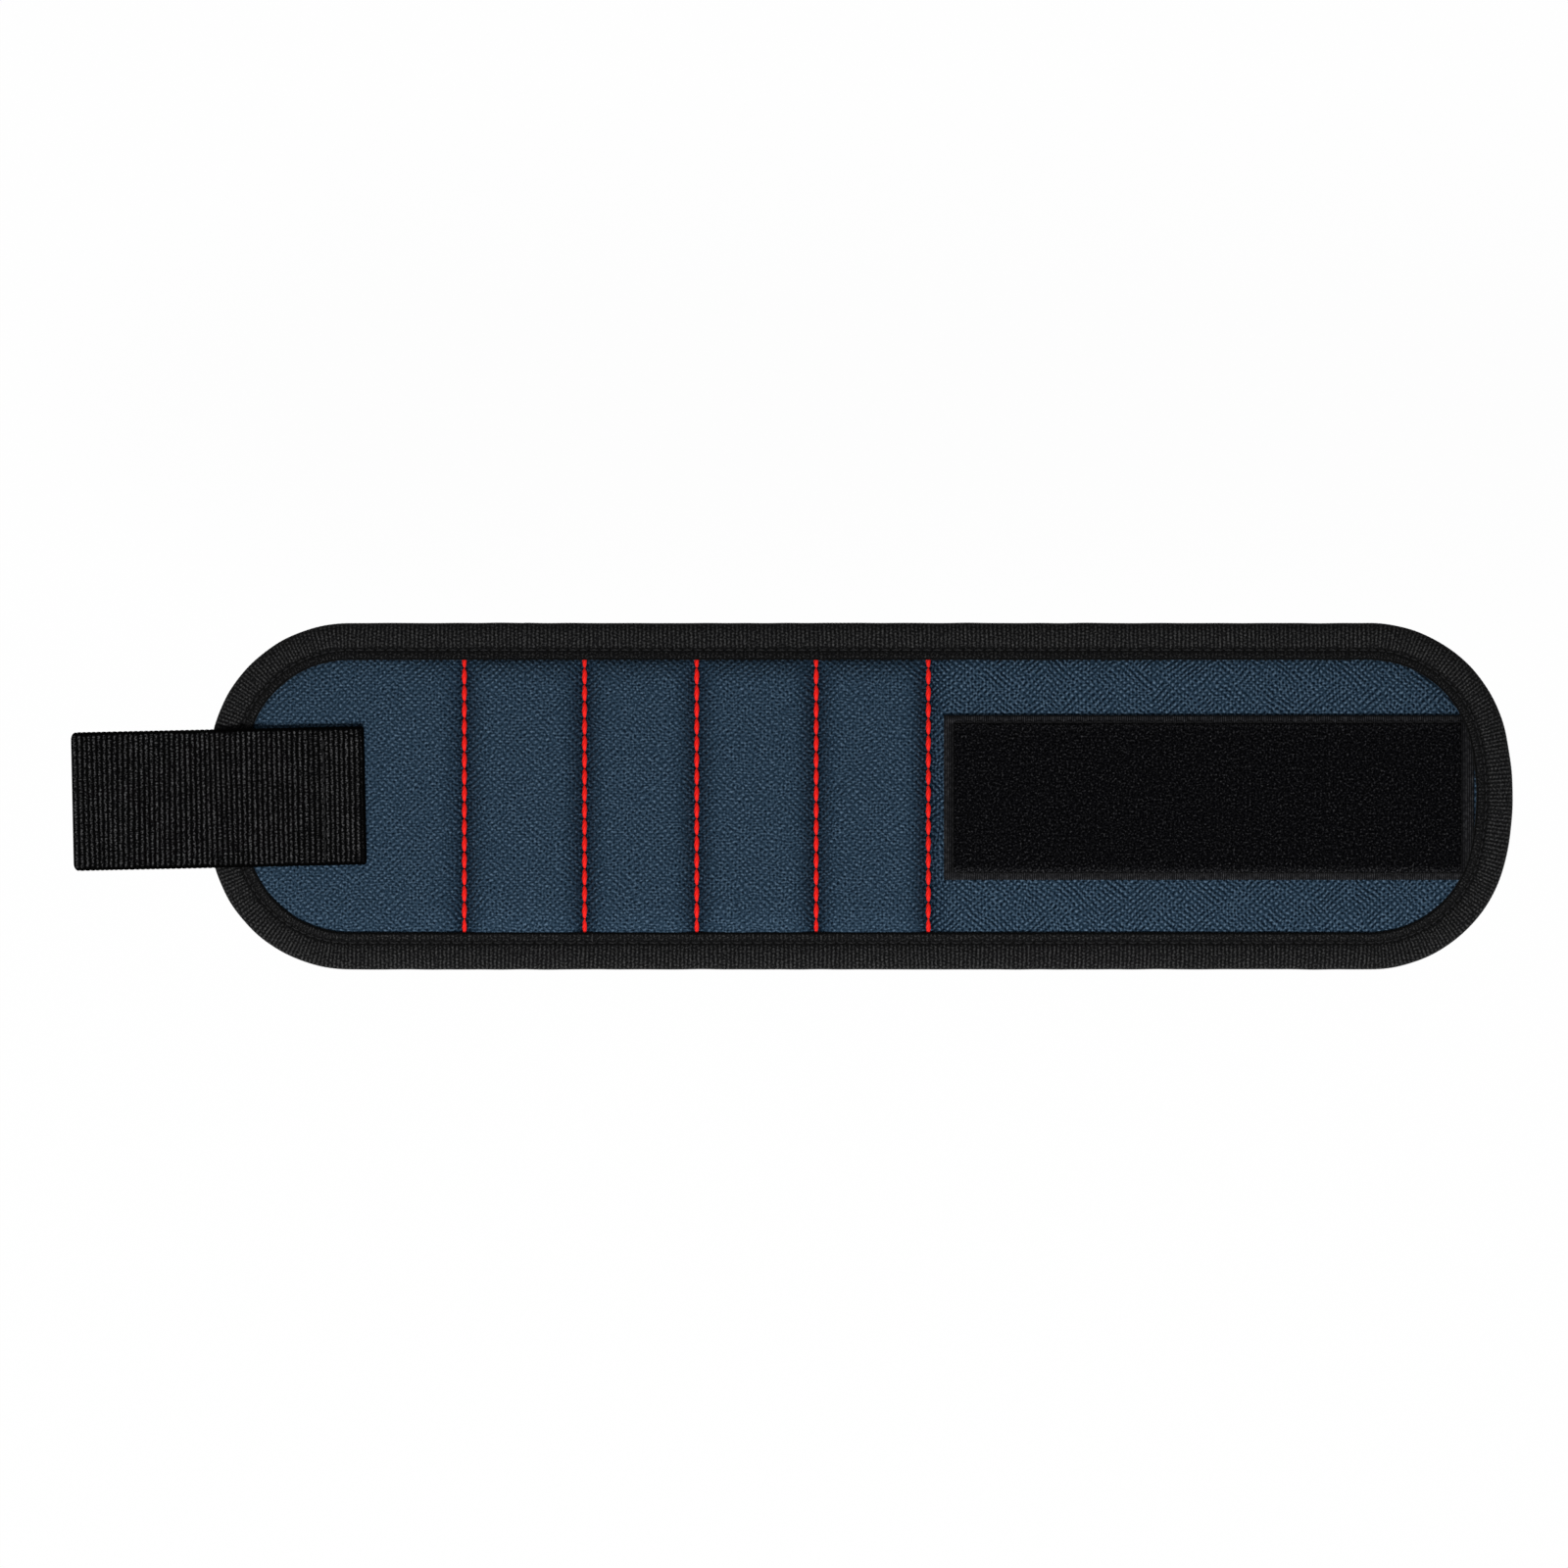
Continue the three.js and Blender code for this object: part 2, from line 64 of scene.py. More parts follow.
TURN = 2 * math.pi
UP = np.array([0.0, 0.0, 1.0])


def node_box(node):
    """The low and high corners of a CAD node, in millimetres."""
    low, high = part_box(node)
    return np.array(low) * MM, np.array(high) * MM


# Places from the frame: the segments, the lines where the band bends, the tips and the heights
SEGMENTS = ["left_end", "channel_1", "channel_2", "channel_3", "channel_4", "tail_1", "tail_2", "tail_3"]
BENDS = ["seam_1_bend", "seam_2_bend", "seam_3_bend", "wrap", "seam_5_bend", "tail_1_bend", "tail_2_bend"]
CHANNELS = 4
MAGNETS = 3
SEAM_COUNT = 5
joints = {joint["name"]: joint for joint in frame["joints"]}
bend_lines = [joints[name]["pos_m"][0] * MM for name in BENDS]
seams = np.array(bend_lines[:SEAM_COUNT])
left_tip = node_box("binding_left_end")[0][0]
right_tip = node_box("binding_tail_3")[1][0]
half_width = node_box("binding_upper_channel_1")[1][1]
plain_top = node_box("face_tail_1")[1][2]
channel_top = node_box("face_channel_2")[1][2]
pad_low, pad_high = node_box("magnet_pad_1")
loop_low, loop_high = node_box("loop_patch_1")
loop_right = node_box("loop_patch_3")[1][0]
loop_width = loop_high[1] - loop_low[1]

# Each layer is cut halfway between the bends, so that a piece has one bend in it
PIECES = len(BENDS)
cuts = [left_tip, *[(a + b) / 2 for a, b in zip(bend_lines[:-1], bend_lines[1:])], right_tip]

# The outline's round ends: a wide arc at the tip between two corner arcs
END_RADIUS = 75.0
CORNER_RADIUS = 36.5
corner_rise = half_width - CORNER_RADIUS
end_angle = math.asin(corner_rise / (END_RADIUS - CORNER_RADIUS))
corner_depth = END_RADIUS - (END_RADIUS - CORNER_RADIUS) * math.cos(end_angle)
end_back = END_RADIUS - corner_depth
straight_start = left_tip + corner_depth
straight_end = right_tip - corner_depth

# The quilted cloth
FACE_THICKNESS = 0.9
FACE_STEP = 0.8
SEAM_TOP = 3.9
SEAM_FLOOR = 1.0
EDGE_TOP = 3.5
EDGE_SHOULDER = 6.6
PLAIN_RIM = 0.45
CHANNEL_RIM = 0.5
RIM_TUCK = 0.7
RIM_RISE = 1.2
PLAIN_SHOULDER = 7.0
PLAIN_ROLL = 0.9
ROLL_WIDTH = 7.0
CHANNEL_DOME = 0.5
DOME_LEVEL = 0.9
RELIEF_FADE = 4.0
PUCKER_DEPTH = 0.16
PUCKER_REACH = 4.0
PUCKER_SIZE = 9.0
UNEVEN_DEPTH = 0.12
UNEVEN_SIZE = 30.0
PINCH_DEPTH = 0.35
PINCH_WIDTH = 1.6
PANEL_INSET = 2.2
WARP_PITCH = 0.955
WEFT_PITCH = 0.86

# The mesh lining, with its heights at the edge, in a seam and on the padding
LINING_STEP = 0.95
LINING_UPPER = (2.3, 2.8, 3.6)
LINING_LOWER = (1.3, 0.7, 0.0)
MESH_HOLE = 0.3
MESH_PITCH = 2.9
mesh_row = 0.62 * MESH_PITCH

# The binding. Its lip is given as distance in from the edge, height and share of the ribs' depth.
BINDING_WIDTH = 9.6
BINDING_TAPE = 0.7
BINDING_RIB_PITCH = 1.08
BINDING_RIB_DEPTH = 0.11
BINDING_ROW = 7.0
BINDING_MIDDLE = 2.4
BINDING_PEAK = 4.75
BINDING_FOLD = 3.2
BINDING_FALL = 0.35
BINDING_RISE = 0.85
BINDING_GROOVE = 0.4
GROOVE_WIDTH = 0.8
BINDING_LIP = [[9.55, 3.6, 0.0], [9.64, 4.1, 0.1], [9.55, 4.6, 0.2], [9.3, 4.95, 0.3]]
BINDING_STEPS = [9.0, 8.6, 8.1, 7.6, 7.3, 7.0, 6.7, 6.4, 6.0, 5.2, 4.2, 3.2, 2.3, 1.5, 0.85, 0.35, 0.08]
BEAD_PITCH = 0.9

# Stitches. A thread has a width, a height and an arch, and a seat has a lift and a dive under the binding.
RED_PITCH = 4.34
RED_PHASE = -1.4
RED_GAP = 0.06
RED_THREAD = (1.38, 1.25, 0.3)
RED_SEAT = (0.35, 1.5)
WRIST_THREAD = (0.9, 0.6, 0.1)
WRIST_SEAT = (-0.05, -0.1)
DIVE_LENGTH = 1.5
DIVE_END = 2.2
BLACK_PITCH = 2.7
BLACK_GAP = 0.3
BLACK_THREAD = (0.5, 0.4, 0.12)
PATCH_PITCH = 2.6
PATCH_GAP = 0.2
PATCH_THREAD = (0.55, 0.45, 0.15)
STRAP_STITCH = 2.9
STRAP_GAP = 0.25
STRAP_THREAD = (0.7, 0.5, 0.12)
THREAD_LIFT = 0.02
PLIES = 3
PLY_DEPTH = 0.16
PLY_TWIST = 3.4

# The loop patch
LOOP_STEP = 0.6
LOOP_GROUND = 0.9
LOOP_PRESSED = 0.35
LOOP_TUCK = 1.2
LOOP_REACH = 1.15
LOOP_CLEAR = 0.05
SELVEDGE_SIDE = 2.0
SELVEDGE_END = 2.6
SELVEDGE_PITCH = 0.567
SELVEDGE_ROW = 0.25
PILE_REACH = 0.5
PILE_SHORT = 0.2
PILE_EDGE = 0.9
PILE_DEPTH = 0.1
pile_low = loop_low[1] + SELVEDGE_SIDE
pile_high = loop_high[1] - SELVEDGE_SIDE
LOOP_SPACING = 0.95
LOOP_JITTER = 0.4
LOOP_YARN = 0.07
LOOP_SUNK = 0.35
LOOP_SPANS = (0.3, 0.55)
LOOP_HEIGHTS = (0.25, 0.5)
LOOP_SEED = 41

# The strap and its hook tape, in axes that start at the strap's hinge
peel = joints["strap_peel"]
hinge = np.array(peel["pos_m"]) * MM
skew = math.asin(peel["axis"][0])
STRAP_WIDTH = 36.0
STRAP_THICKNESS = 1.6
STRAP_CORNER = 1.5
STRAP_RIB_DEPTH = 0.28
SELVEDGE_RIB_DEPTH = 0.16
STRAP_RIBS = 57
STRAP_ROW = 31.9
STRAP_ROW_MARGIN = 1.2
STRAP_ROW_DEPTH = 0.05
STRAP_RIGHT = 42.6
strap_left = (node_box("strap_tab")[0][0] - hinge[0] + STRAP_WIDTH / 2 * math.sin(skew)) / math.cos(skew)
strap_pitch = (STRAP_RIGHT - strap_left) / STRAP_RIBS
HOOK_START = 3.0
HOOK_MARGIN = 1.2
HOOK_GROUND = 0.55
HOOK_CLEAR = 0.05
HOOK_RIB_DEPTH = 0.06
HOOK_PITCH = 1.5
HOOK_FIRST = 1.0
HOOK_LAST = 0.6
HOOK_REACH = 1.25
HOOK_JITTER = 0.1
HOOK_SEED = 51
HOOK_PATH = [[0, 0.1], [0, -0.4], [0.06, -0.68], [0.22, -0.84], [0.42, -0.8], [0.5, -0.6]]
HOOK_RADII = [0.14, 0.12, 0.11, 0.1, 0.09, 0.06]

# The pads and the magnets. A disc's rim is given as steps in from its side and in from its face.
PAD_SPLIT = 0.05
PAD_SQUARE = 7
POCKET_ROOM = 0.3
DISC_RIM = np.array([[0.55, 0.0], [0.25, 0.0], [0.07, 0.07], [0, 0.25]])

# The photograph's framing, and the stage and its light in metres
PHOTO_WIDTH = 1600.0
PHOTO_ORIGIN = (808.5, 812.5)
MM_PER_PIXEL = 0.25424
LENS = 200.0
SENSOR = 36.0
SIGHT = 20.0
FLOOR_SIZE = 8.0
FLOOR_DROP = 0.16
FLOOR_GLOW = 0.98
PAPER = (0.9, 0.9, 0.9, 1)
WHITE = (1, 1, 1, 1)
SOFT_LIGHT = 0.2
LAMP_PLACE = (-0.1, -0.66, 0.95)
LAMP_SIZE = 0.3
LAMP_POWER = 12.8


# Distances on the outline

def end_side(x):
    """How far x lies past the corner arcs' centres, at either end."""
    return np.maximum(straight_start - x, x - straight_end)


def edge_distance(x, y):
    """Distance in from the band's outline."""
    past = end_side(x)
    rise = np.abs(y)
    on_end = np.arctan2(rise, past + end_back) < end_angle
    corner = CORNER_RADIUS - np.hypot(past, rise - corner_rise)
    tip = END_RADIUS - np.hypot(past + end_back, y)
    return np.where(past <= 0, half_width - rise, np.where(on_end, tip, corner))


def half_height(x, inset):
    """Half the band's height at x, measured on the outline moved in by inset."""
    past = end_side(x)
    corner = CORNER_RADIUS - inset
    end = END_RADIUS - inset
    on_corner = corner_rise + np.sqrt(np.maximum(corner ** 2 - past ** 2, 0))
    on_end = np.sqrt(np.maximum(end ** 2 - (past + end_back) ** 2, 0))
    curved = np.where(past < corner * math.cos(end_angle), on_corner, on_end)
    return np.where(past <= 0, half_width - inset, curved)


def outline_runs():
    """The outline clockwise from the upper left, as runs of length, start or centre, direction or radius,
    and first angle."""
    top = math.pi / 2
    corner = CORNER_RADIUS * (top - end_angle)
    tip = END_RADIUS * 2 * end_angle
    straight = straight_end - straight_start
    return [
        (straight, (straight_start, half_width), (1, 0), None),
        (corner, (straight_end, corner_rise), CORNER_RADIUS, top),
        (tip, (right_tip - END_RADIUS, 0.0), END_RADIUS, end_angle),
        (corner, (straight_end, -corner_rise), CORNER_RADIUS, -end_angle),
        (straight, (straight_end, -half_width), (-1, 0), None),
        (corner, (straight_start, -corner_rise), CORNER_RADIUS, -top),
        (tip, (left_tip + END_RADIUS, 0.0), END_RADIUS, end_angle - math.pi),
        (corner, (straight_start, corner_rise), CORNER_RADIUS, math.pi - end_angle),
    ]


RUNS = outline_runs()
perimeter = sum(run[0] for run in RUNS)
binding_pitch = perimeter / round(perimeter / BINDING_RIB_PITCH)


def outline_at(s):
    """Points on the outline and the directions into the band, at lengths s along it."""
    s = np.mod(s, perimeter)
    points = np.zeros((len(s), 2))
    inward = np.zeros((len(s), 2))
    begin = 0.0
    for length, place, shape, angle in RUNS:
        on = (s >= begin) & (s <= begin + length)
        along = s[on] - begin
        if angle is None:
            points[on] = np.array(place) + along[:, None] * np.array(shape)
            inward[on] = (0, -shape[0])
        else:
            turn = angle - along / shape
            out = joined(np.cos(turn), np.sin(turn))
            points[on] = np.array(place) + shape * out
            inward[on] = -out
        begin += length
    return points, inward


def upper_length(x):
    return x - straight_start


def lower_length(x):
    return sum(run[0] for run in RUNS[:4]) + straight_end - x


# The quilted relief

def waves(x, y, size, seed):
    """Seeded smooth unevenness from about -1 to 1, with waves about size long."""
    rng = np.random.default_rng(seed)
    total = np.zeros(np.broadcast(x, y).shape)
    count = 14
    for _ in range(count):
        angle = rng.uniform(0, TURN)
        length = size * rng.uniform(0.6, 1.7)
        phase = rng.uniform(0, TURN)
        total += np.cos(TURN * (x * math.cos(angle) + y * math.sin(angle)) / length + phase)
    return total / math.sqrt(2 * count)


def clamp(share):
    return np.clip(share, 0, 1)


def ease(t, power=2.2):
    """A rise from 0 to 1 that starts steep and ends flat."""
    return 1 - (1 - clamp(t)) ** power


def channel_share(x):
    """1 over the magnet channels and 0 on the plain ends."""
    return ((x > seams[0]) & (x < seams[-1])).astype(float)


def seam_gap(x):
    """Distance to the nearest seam."""
    return np.min(np.abs(np.asarray(x)[..., None] - seams), axis=-1)


def seam_relief(x):
    """0 in a seam and 1 on top of the padding beside it."""
    pad_width = pad_high[0] - pad_low[0]
    width = np.interp(x, (seams[:-1] + seams[1:]) / 2, np.diff(seams))
    shoulder = np.where(channel_share(x) > 0, (width - pad_width) / 2 + 1, PLAIN_SHOULDER)
    shoulder = np.where(x > seams[-1], loop_low[0] - seams[-1], shoulder)
    return ease((seam_gap(x) - SEAM_FLOOR) / (shoulder - SEAM_FLOOR), 2.0)


def layer(x, y, at_edge, at_seam, on_crown):
    """The height of a layer that is held at the edge and at the seams."""
    middle = at_seam + (on_crown - at_seam) * seam_relief(x)
    return at_edge + (middle - at_edge) * ease((edge_distance(x, y) - BINDING_WIDTH) / EDGE_SHOULDER)


def stitch_pinch(x, y):
    """How strongly the red stitches draw the cloth down: 1 at a needle hole."""
    near = np.exp(-(seam_gap(x) / PINCH_WIDTH) ** 2)
    return near * (0.5 + 0.5 * np.cos(TURN * (y - RED_PHASE) / RED_PITCH))


def rim_height(x, distance):
    """Where the cloth's edge lies: low under the binding, and higher beside its lip, most over the pads."""
    beside = clamp((distance - BINDING_WIDTH + RIM_TUCK) / RIM_RISE)
    return EDGE_TOP + (PLAIN_RIM + CHANNEL_RIM * channel_share(x) * seam_relief(x)) * beside


def face_top(x, y):
    share = channel_share(x)
    dome = (np.sin(math.pi * clamp(seam_relief(x)) / 2) - DOME_LEVEL) * CHANNEL_DOME
    roll = PLAIN_ROLL * np.exp(-((seams[0] - PLAIN_SHOULDER - x) / ROLL_WIDTH) ** 2)
    crown = plain_top + (channel_top + dome - plain_top) * share + roll * (1 - share)
    distance = edge_distance(x, y)
    inside = clamp((distance - BINDING_WIDTH) / RELIEF_FADE)
    puckers = PUCKER_DEPTH * np.exp(-seam_gap(x) / PUCKER_REACH) * waves(x, y, PUCKER_SIZE, 3) * inside
    uneven = UNEVEN_DEPTH * waves(x, y, UNEVEN_SIZE, 5) * inside * (0.3 + 0.7 * share)
    height = layer(x, y, rim_height(x, distance), SEAM_TOP, crown)
    return height - PINCH_DEPTH * stitch_pinch(x, y) * inside + puckers + uneven


def face_bottom(x, y):
    return face_top(x, y) - FACE_THICKNESS


# Meshes

def joined(*parts):
    """Points from their coordinates, each of them a number or an array."""
    return np.stack(np.broadcast_arrays(*parts), -1)


def unit(vectors):
    return vectors / np.linalg.norm(vectors, axis=1)[:, None]


def add_object(name, data):
    """An object in the scene for a mesh, a lamp or a camera."""
    made = bpy.data.objects.new(name, data)
    bpy.context.scene.collection.objects.link(made)
    return made


def make_piece(name, points, faces, flat, material, sharp=60):
    """A smooth mesh object from points in millimetres, lists of faces and a flat map in millimetres."""
    mesh = bpy.data.meshes.new(name)
    corners = np.concatenate([group.ravel() for group in faces]).astype(np.int32)
    sizes = np.concatenate([np.full(len(group), group.shape[1]) for group in faces])
    starts = np.concatenate([[0], np.cumsum(sizes)[:-1]]).astype(np.int32)
    mesh.vertices.add(len(points))
    mesh.vertices.foreach_set("co", (points / MM).astype(np.float32).ravel())
    mesh.loops.add(len(corners))
    mesh.loops.foreach_set("vertex_index", corners)
    mesh.polygons.add(len(sizes))
    mesh.polygons.foreach_set("loop_start", starts)
    mesh.polygons.foreach_set("use_smooth", np.ones(len(sizes), bool))
    mesh.update(calc_edges=True)
    mesh.validate()
    layer_map = mesh.uv_layers.new(name="flat")
    layer_map.data.foreach_set("uv", flat.astype(np.float32)[corners].ravel())
    mesh.set_sharp_from_angle(angle=math.radians(sharp))
    mesh.materials.append(material)
    return add_object(name, mesh)


def quads(index):
    """Four-sided faces between the neighbours in a grid of point numbers."""
    low, high = index[..., :-1, :], index[..., 1:, :]
    return joined(low[..., :-1], high[..., :-1], high[..., 1:], low[..., 1:]).reshape(-1, 4)


def closed(index, axis=-1):
    """The same grid with its first row again at the end."""
    return np.concatenate([index, index.take([0], axis)], axis)


def outward(points, faces):
    """The same faces, turned so that they point out."""
    volume = 0.0
    for group in faces:
        first = points[group[:, 0]]
        for k in range(1, group.shape[1] - 1):
            volume += np.sum(first * np.cross(points[group[:, k]], points[group[:, k + 1]]))
    return faces if volume > 0 else [group[:, ::-1] for group in faces]


def slab(xs, low, high, rows, top, bottom):
    """A closed sheet over the columns xs, each from low to high in y, between two height functions."""
    x = np.repeat(xs[:, None], rows + 1, 1)
    y = low[:, None] + (high - low)[:, None] * np.linspace(0, 1, rows + 1)
    points = np.concatenate([joined(x, y, side(x, y)).reshape(-1, 3) for side in (top, bottom)])
    count = x.size
    index = np.arange(count).reshape(x.shape)
    up = quads(index)
    rim = np.concatenate([index[:-1, 0], index[-1, :-1], index[:0:-1, -1], index[0, :0:-1]])
    after = np.roll(rim, -1)
    walls = joined(rim, rim + count, after + count, after)
    return points, [up, up[:, ::-1] + count, walls], points[:, :2]


def tubes(points, flat):
    """Many closed tubes from arrays of (tube, ring, side, xyz)."""
    index = np.arange(points[..., 0].size).reshape(points.shape[:3])
    faces = [quads(closed(index)), index[:, 0], index[:, -1, ::-1]]
    points = points.reshape(-1, 3)
    return points, outward(points, faces), flat.reshape(-1, 2)


def loft(sections, flat):
    """A closed body through rings of points, with a face over each end."""
    return tubes(sections[None], flat)


def wreaths(sections):
    """Many closed bodies, from arrays of (body, section, point, xyz) whose sections meet again."""
    index = np.arange(sections[..., 0].size).reshape(sections.shape[:3])
    points = sections.reshape(-1, 3)
    return points, outward(points, [quads(closed(closed(index, 1)))]), points[:, :2]


def columns(start, end, step):
    return np.linspace(start, end, max(2, int(math.ceil((end - start) / step)) + 1))


def layer_columns(index, step):
    """Columns of one piece of a layer, closer together toward a round tip."""
    start, end = cuts[index], cuts[index + 1]
    tip_steps = np.array([0.02, 0.15, 0.35, 0.6])
    if index == 0:
        return np.concatenate([start + PANEL_INSET + tip_steps, columns(start + PANEL_INSET + 1, end, step)])
    if index == PIECES - 1:
        tip = end - PANEL_INSET
        return np.concatenate([columns(start, tip - 1, step), (tip - tip_steps)[::-1]])
    return columns(start, end, step)


def panel(index, step, top, bottom):
    """One piece of a cloth layer: its columns, how far they reach, and its mesh."""
    xs = layer_columns(index, step)
    reach = half_height(xs, PANEL_INSET)
    return xs, reach, slab(xs, -reach, reach, int(2 * half_width / step), top, bottom)


def bend_piece(piece):
    """Bakes a piece's placement into its mesh."""
    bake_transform(piece)


def cad_nodes(layer_name, index):
    """The CAD nodes of a layer that its piece between two cuts stands for."""
    segments = SEGMENTS[:2] if index == 0 else [SEGMENTS[index + 1]]
    return [f"{layer_name}_{segment}" for segment in segments]


# Materials from shader values that can be added and multiplied

class Field:
    """A value in a node tree. Each operation on it adds a Math node."""

    def __init__(self, tree, socket):
        self.tree = tree
        self.socket = socket

    def apply(self, operation, *others):
        node = self.tree.nodes.new("ShaderNodeMath")
        node.operation = operation
        for place, value in enumerate([self, *others]):
            if isinstance(value, Field):
                self.tree.links.new(value.socket, node.inputs[place])
            else:
                node.inputs[place].default_value = value
        return Field(self.tree, node.outputs[0])

    __add__ = partialmethod(apply, "ADD")
    __sub__ = partialmethod(apply, "SUBTRACT")
    __mul__ = partialmethod(apply, "MULTIPLY")
    __truediv__ = partialmethod(apply, "DIVIDE")
    __abs__ = partialmethod(apply, "ABSOLUTE")
    sin = partialmethod(apply, "SINE")
    cos = partialmethod(apply, "COSINE")
    floor = partialmethod(apply, "FLOOR")
    power = partialmethod(apply, "POWER")
    maximum = partialmethod(apply, "MAXIMUM")
    minimum = partialmethod(apply, "MINIMUM")

    def clamp(self):
        return self.maximum(0.0).minimum(1.0)


def set_inputs(node, **values):
    """Sets inputs of a node by their names, with _ for a space."""
    for name, value in values.items():
        node.inputs[name.replace("_", " ")].default_value = value


class Look:
    """A material under way, with the two flat coordinates of its pieces in millimetres."""

    def __init__(self, name, roughness, specular, sheen=0.0):
        self.material = bpy.data.materials.new(name)
        self.material.use_nodes = True
        self.tree = self.material.node_tree
        self.shader = self.tree.nodes["Principled BSDF"]
        set_inputs(self.shader, Roughness=roughness, Specular_IOR_Level=specular, Sheen_Weight=sheen)
        uv = self.tree.nodes.new("ShaderNodeUVMap")
        uv.uv_map = "flat"
        split = self.tree.nodes.new("ShaderNodeSeparateXYZ")
        self.tree.links.new(uv.outputs[0], split.inputs[0])
        self.flat = Field(self.tree, split.outputs[0]), Field(self.tree, split.outputs[1])

    def dress(self, tone, stops, relief, depth):
        """Colours the material by its tone, from stops of (place, red, green, blue), and raises its
        surface by relief times depth, in millimetres."""
        colours = self.tree.nodes.new("ShaderNodeValToRGB")
        elements = colours.color_ramp.elements
        while len(elements) < len(stops):
            elements.new(0.5)
        for element, (place, *colour) in zip(elements, stops):
            element.position = place
            element.color = srgb(*colour)
        raised = self.tree.nodes.new("ShaderNodeBump")
        set_inputs(raised, Distance=depth / MM)
        link = self.tree.links.new
        link(tone.socket, colours.inputs[0])
        link(colours.outputs[0], self.shader.inputs["Base Color"])
        link(relief.socket, raised.inputs["Height"])
        link(raised.outputs[0], self.shader.inputs["Normal"])
        return self.material


def srgb(red, green, blue):
    """A colour as it is seen, from 0 to 255, in the linear values that a shader takes."""
    seen = [value / 255 for value in (red, green, blue)]
    linear = [c / 12.92 if c <= 0.04045 else ((c + 0.055) / 1.055) ** 2.4 for c in seen]
    return (*linear, 1.0)


def noise(u, v, scale=1.0, detail=2.0):
    """Smooth noise from 0 to 1 over two values."""
    tree = u.tree
    place = tree.nodes.new("ShaderNodeCombineXYZ")
    tree.links.new(u.socket, place.inputs[0])
    tree.links.new(v.socket, place.inputs[1])
    node = tree.nodes.new("ShaderNodeTexNoise")
    set_inputs(node, Scale=scale, Detail=detail)
    tree.links.new(place.outputs[0], node.inputs["Vector"])
    return Field(tree, node.outputs["Fac"])


def cloth_material():
    """Slate-blue weave, with diagonals that change sides from place to place, and painted shade beside the
    seams.
    """
    look = Look("face_cloth", 0.9, 0.05, 0.02)
    u, v = look.flat
    jitter = (noise(u, v + 7.0, 0.6, 1.0) - 0.5) * 0.3
    across = u + (noise(u, v, 0.12) - 0.5) * 2.0 + jitter
    along = v + (noise(u + 40.0, v, 0.12) - 0.5) * 2.0 - jitter
    on_tail = (u - seams[-1]).clamp()
    warp = across * (math.pi / WARP_PITCH)
    weft = along * (math.pi / WEFT_PITCH)
    twill = ((noise(u + 120.0, v, 0.14) - 0.5) * (on_tail * 1.6 + 1.4) + 0.5).clamp()
    check = (warp - weft).cos() * twill + (warp + weft).cos() * (twill - 1.0)
    hole = (check * -1.0).maximum(0.0).power(1.2)
    column = (across / WARP_PITCH).floor()
    row = (along / WEFT_PITCH).floor()
    crossing = noise(column * 3.71, row * 5.33, 1.0, 0.0)
    drift = (noise(u + 80.0, v, 0.15) - 0.5) * 3.0
    ends = ((across + drift) * (TURN / WARP_PITCH)).sin()
    picks = ((along + drift) * (TURN / WEFT_PITCH)).sin()
    fibre = noise(u, v + 31.0, 2.0, 1.0)
    slub = noise(u * 1.1, v * 0.2) + noise(u * 0.2, v * 1.1)
    gap = abs(u - seams[0])
    for seam in seams[1:]:
        gap = gap.minimum(abs(u - seam))
    # Painted shade in the valleys beside the seams: a wide soft band, and a darker narrow one right by the
    # thread.
    seam_shade = (gap * -0.14 + 1.0).clamp().power(1.5) + (gap * -0.5 + 1.2).clamp() * 0.7
    tone = check * (on_tail * 0.06 + 0.12) - hole * (on_tail * 0.1 + crossing * 0.3 + 0.04)
    tone = tone + ends * (on_tail * 0.07 + 0.07) + picks * 0.12
    tone = tone + (crossing - 0.5) * 0.2 + (fibre - 0.5) * 1.3 + (slub - 1.0) * 0.12 + 0.515 - seam_shade * 0.2
    stops = [(0.0, 4, 15, 27), (0.3, 26, 43, 58), (0.55, 43, 62, 79), (1.0, 90, 112, 132)]
    return look.dress(tone, stops, check + fibre * 0.5, 0.15)


def tape_material():
    """Black ribbed binding tape: light beaded ribs on its puffed part, painted shade in the sewn groove, and
    a painted dark line of shade along the lip.
    """
    look = Look("binding_tape", 0.8, 0.03, 0.04)
    s, side = look.flat
    inset = abs(side)
    rib = (s * (TURN / binding_pitch)).cos() * 0.5 + 0.5
    row = (s / binding_pitch + 0.5).floor()
    beads = abs((side * (math.pi / BEAD_PITCH) + row * 1.9).sin())
    streak = noise(row * 4.3, side * 0.45)
    grain = noise(s * 2.0, side * 2.0, 1.0, 1.0)
    puffed = (inset * -1.6 + 10.4).clamp()
    groove = (abs(inset - BINDING_ROW) * -1.1 + 1.0).clamp()
    lip = (inset * 4.0 - 36.2).clamp()
    ribbed = rib.power(1.1) * (beads * 0.4 + streak * 0.7) * (puffed * 0.5 + 0.5)
    # The groove and lip terms paint shade: darker in the sewn groove, and a dark line along the lip where it
    # stands over the cloth.
    tone = ribbed * 0.63 + (grain - 0.5) * 1.4 + 0.285 - puffed * 0.04 - groove * 0.27 - lip * 0.45
    stops = [(0.0, 3, 3, 3), (0.4, 17, 17, 18), (1.0, 72, 72, 72)]
    return look.dress(tone, stops, beads * 0.5 + grain, 0.1)


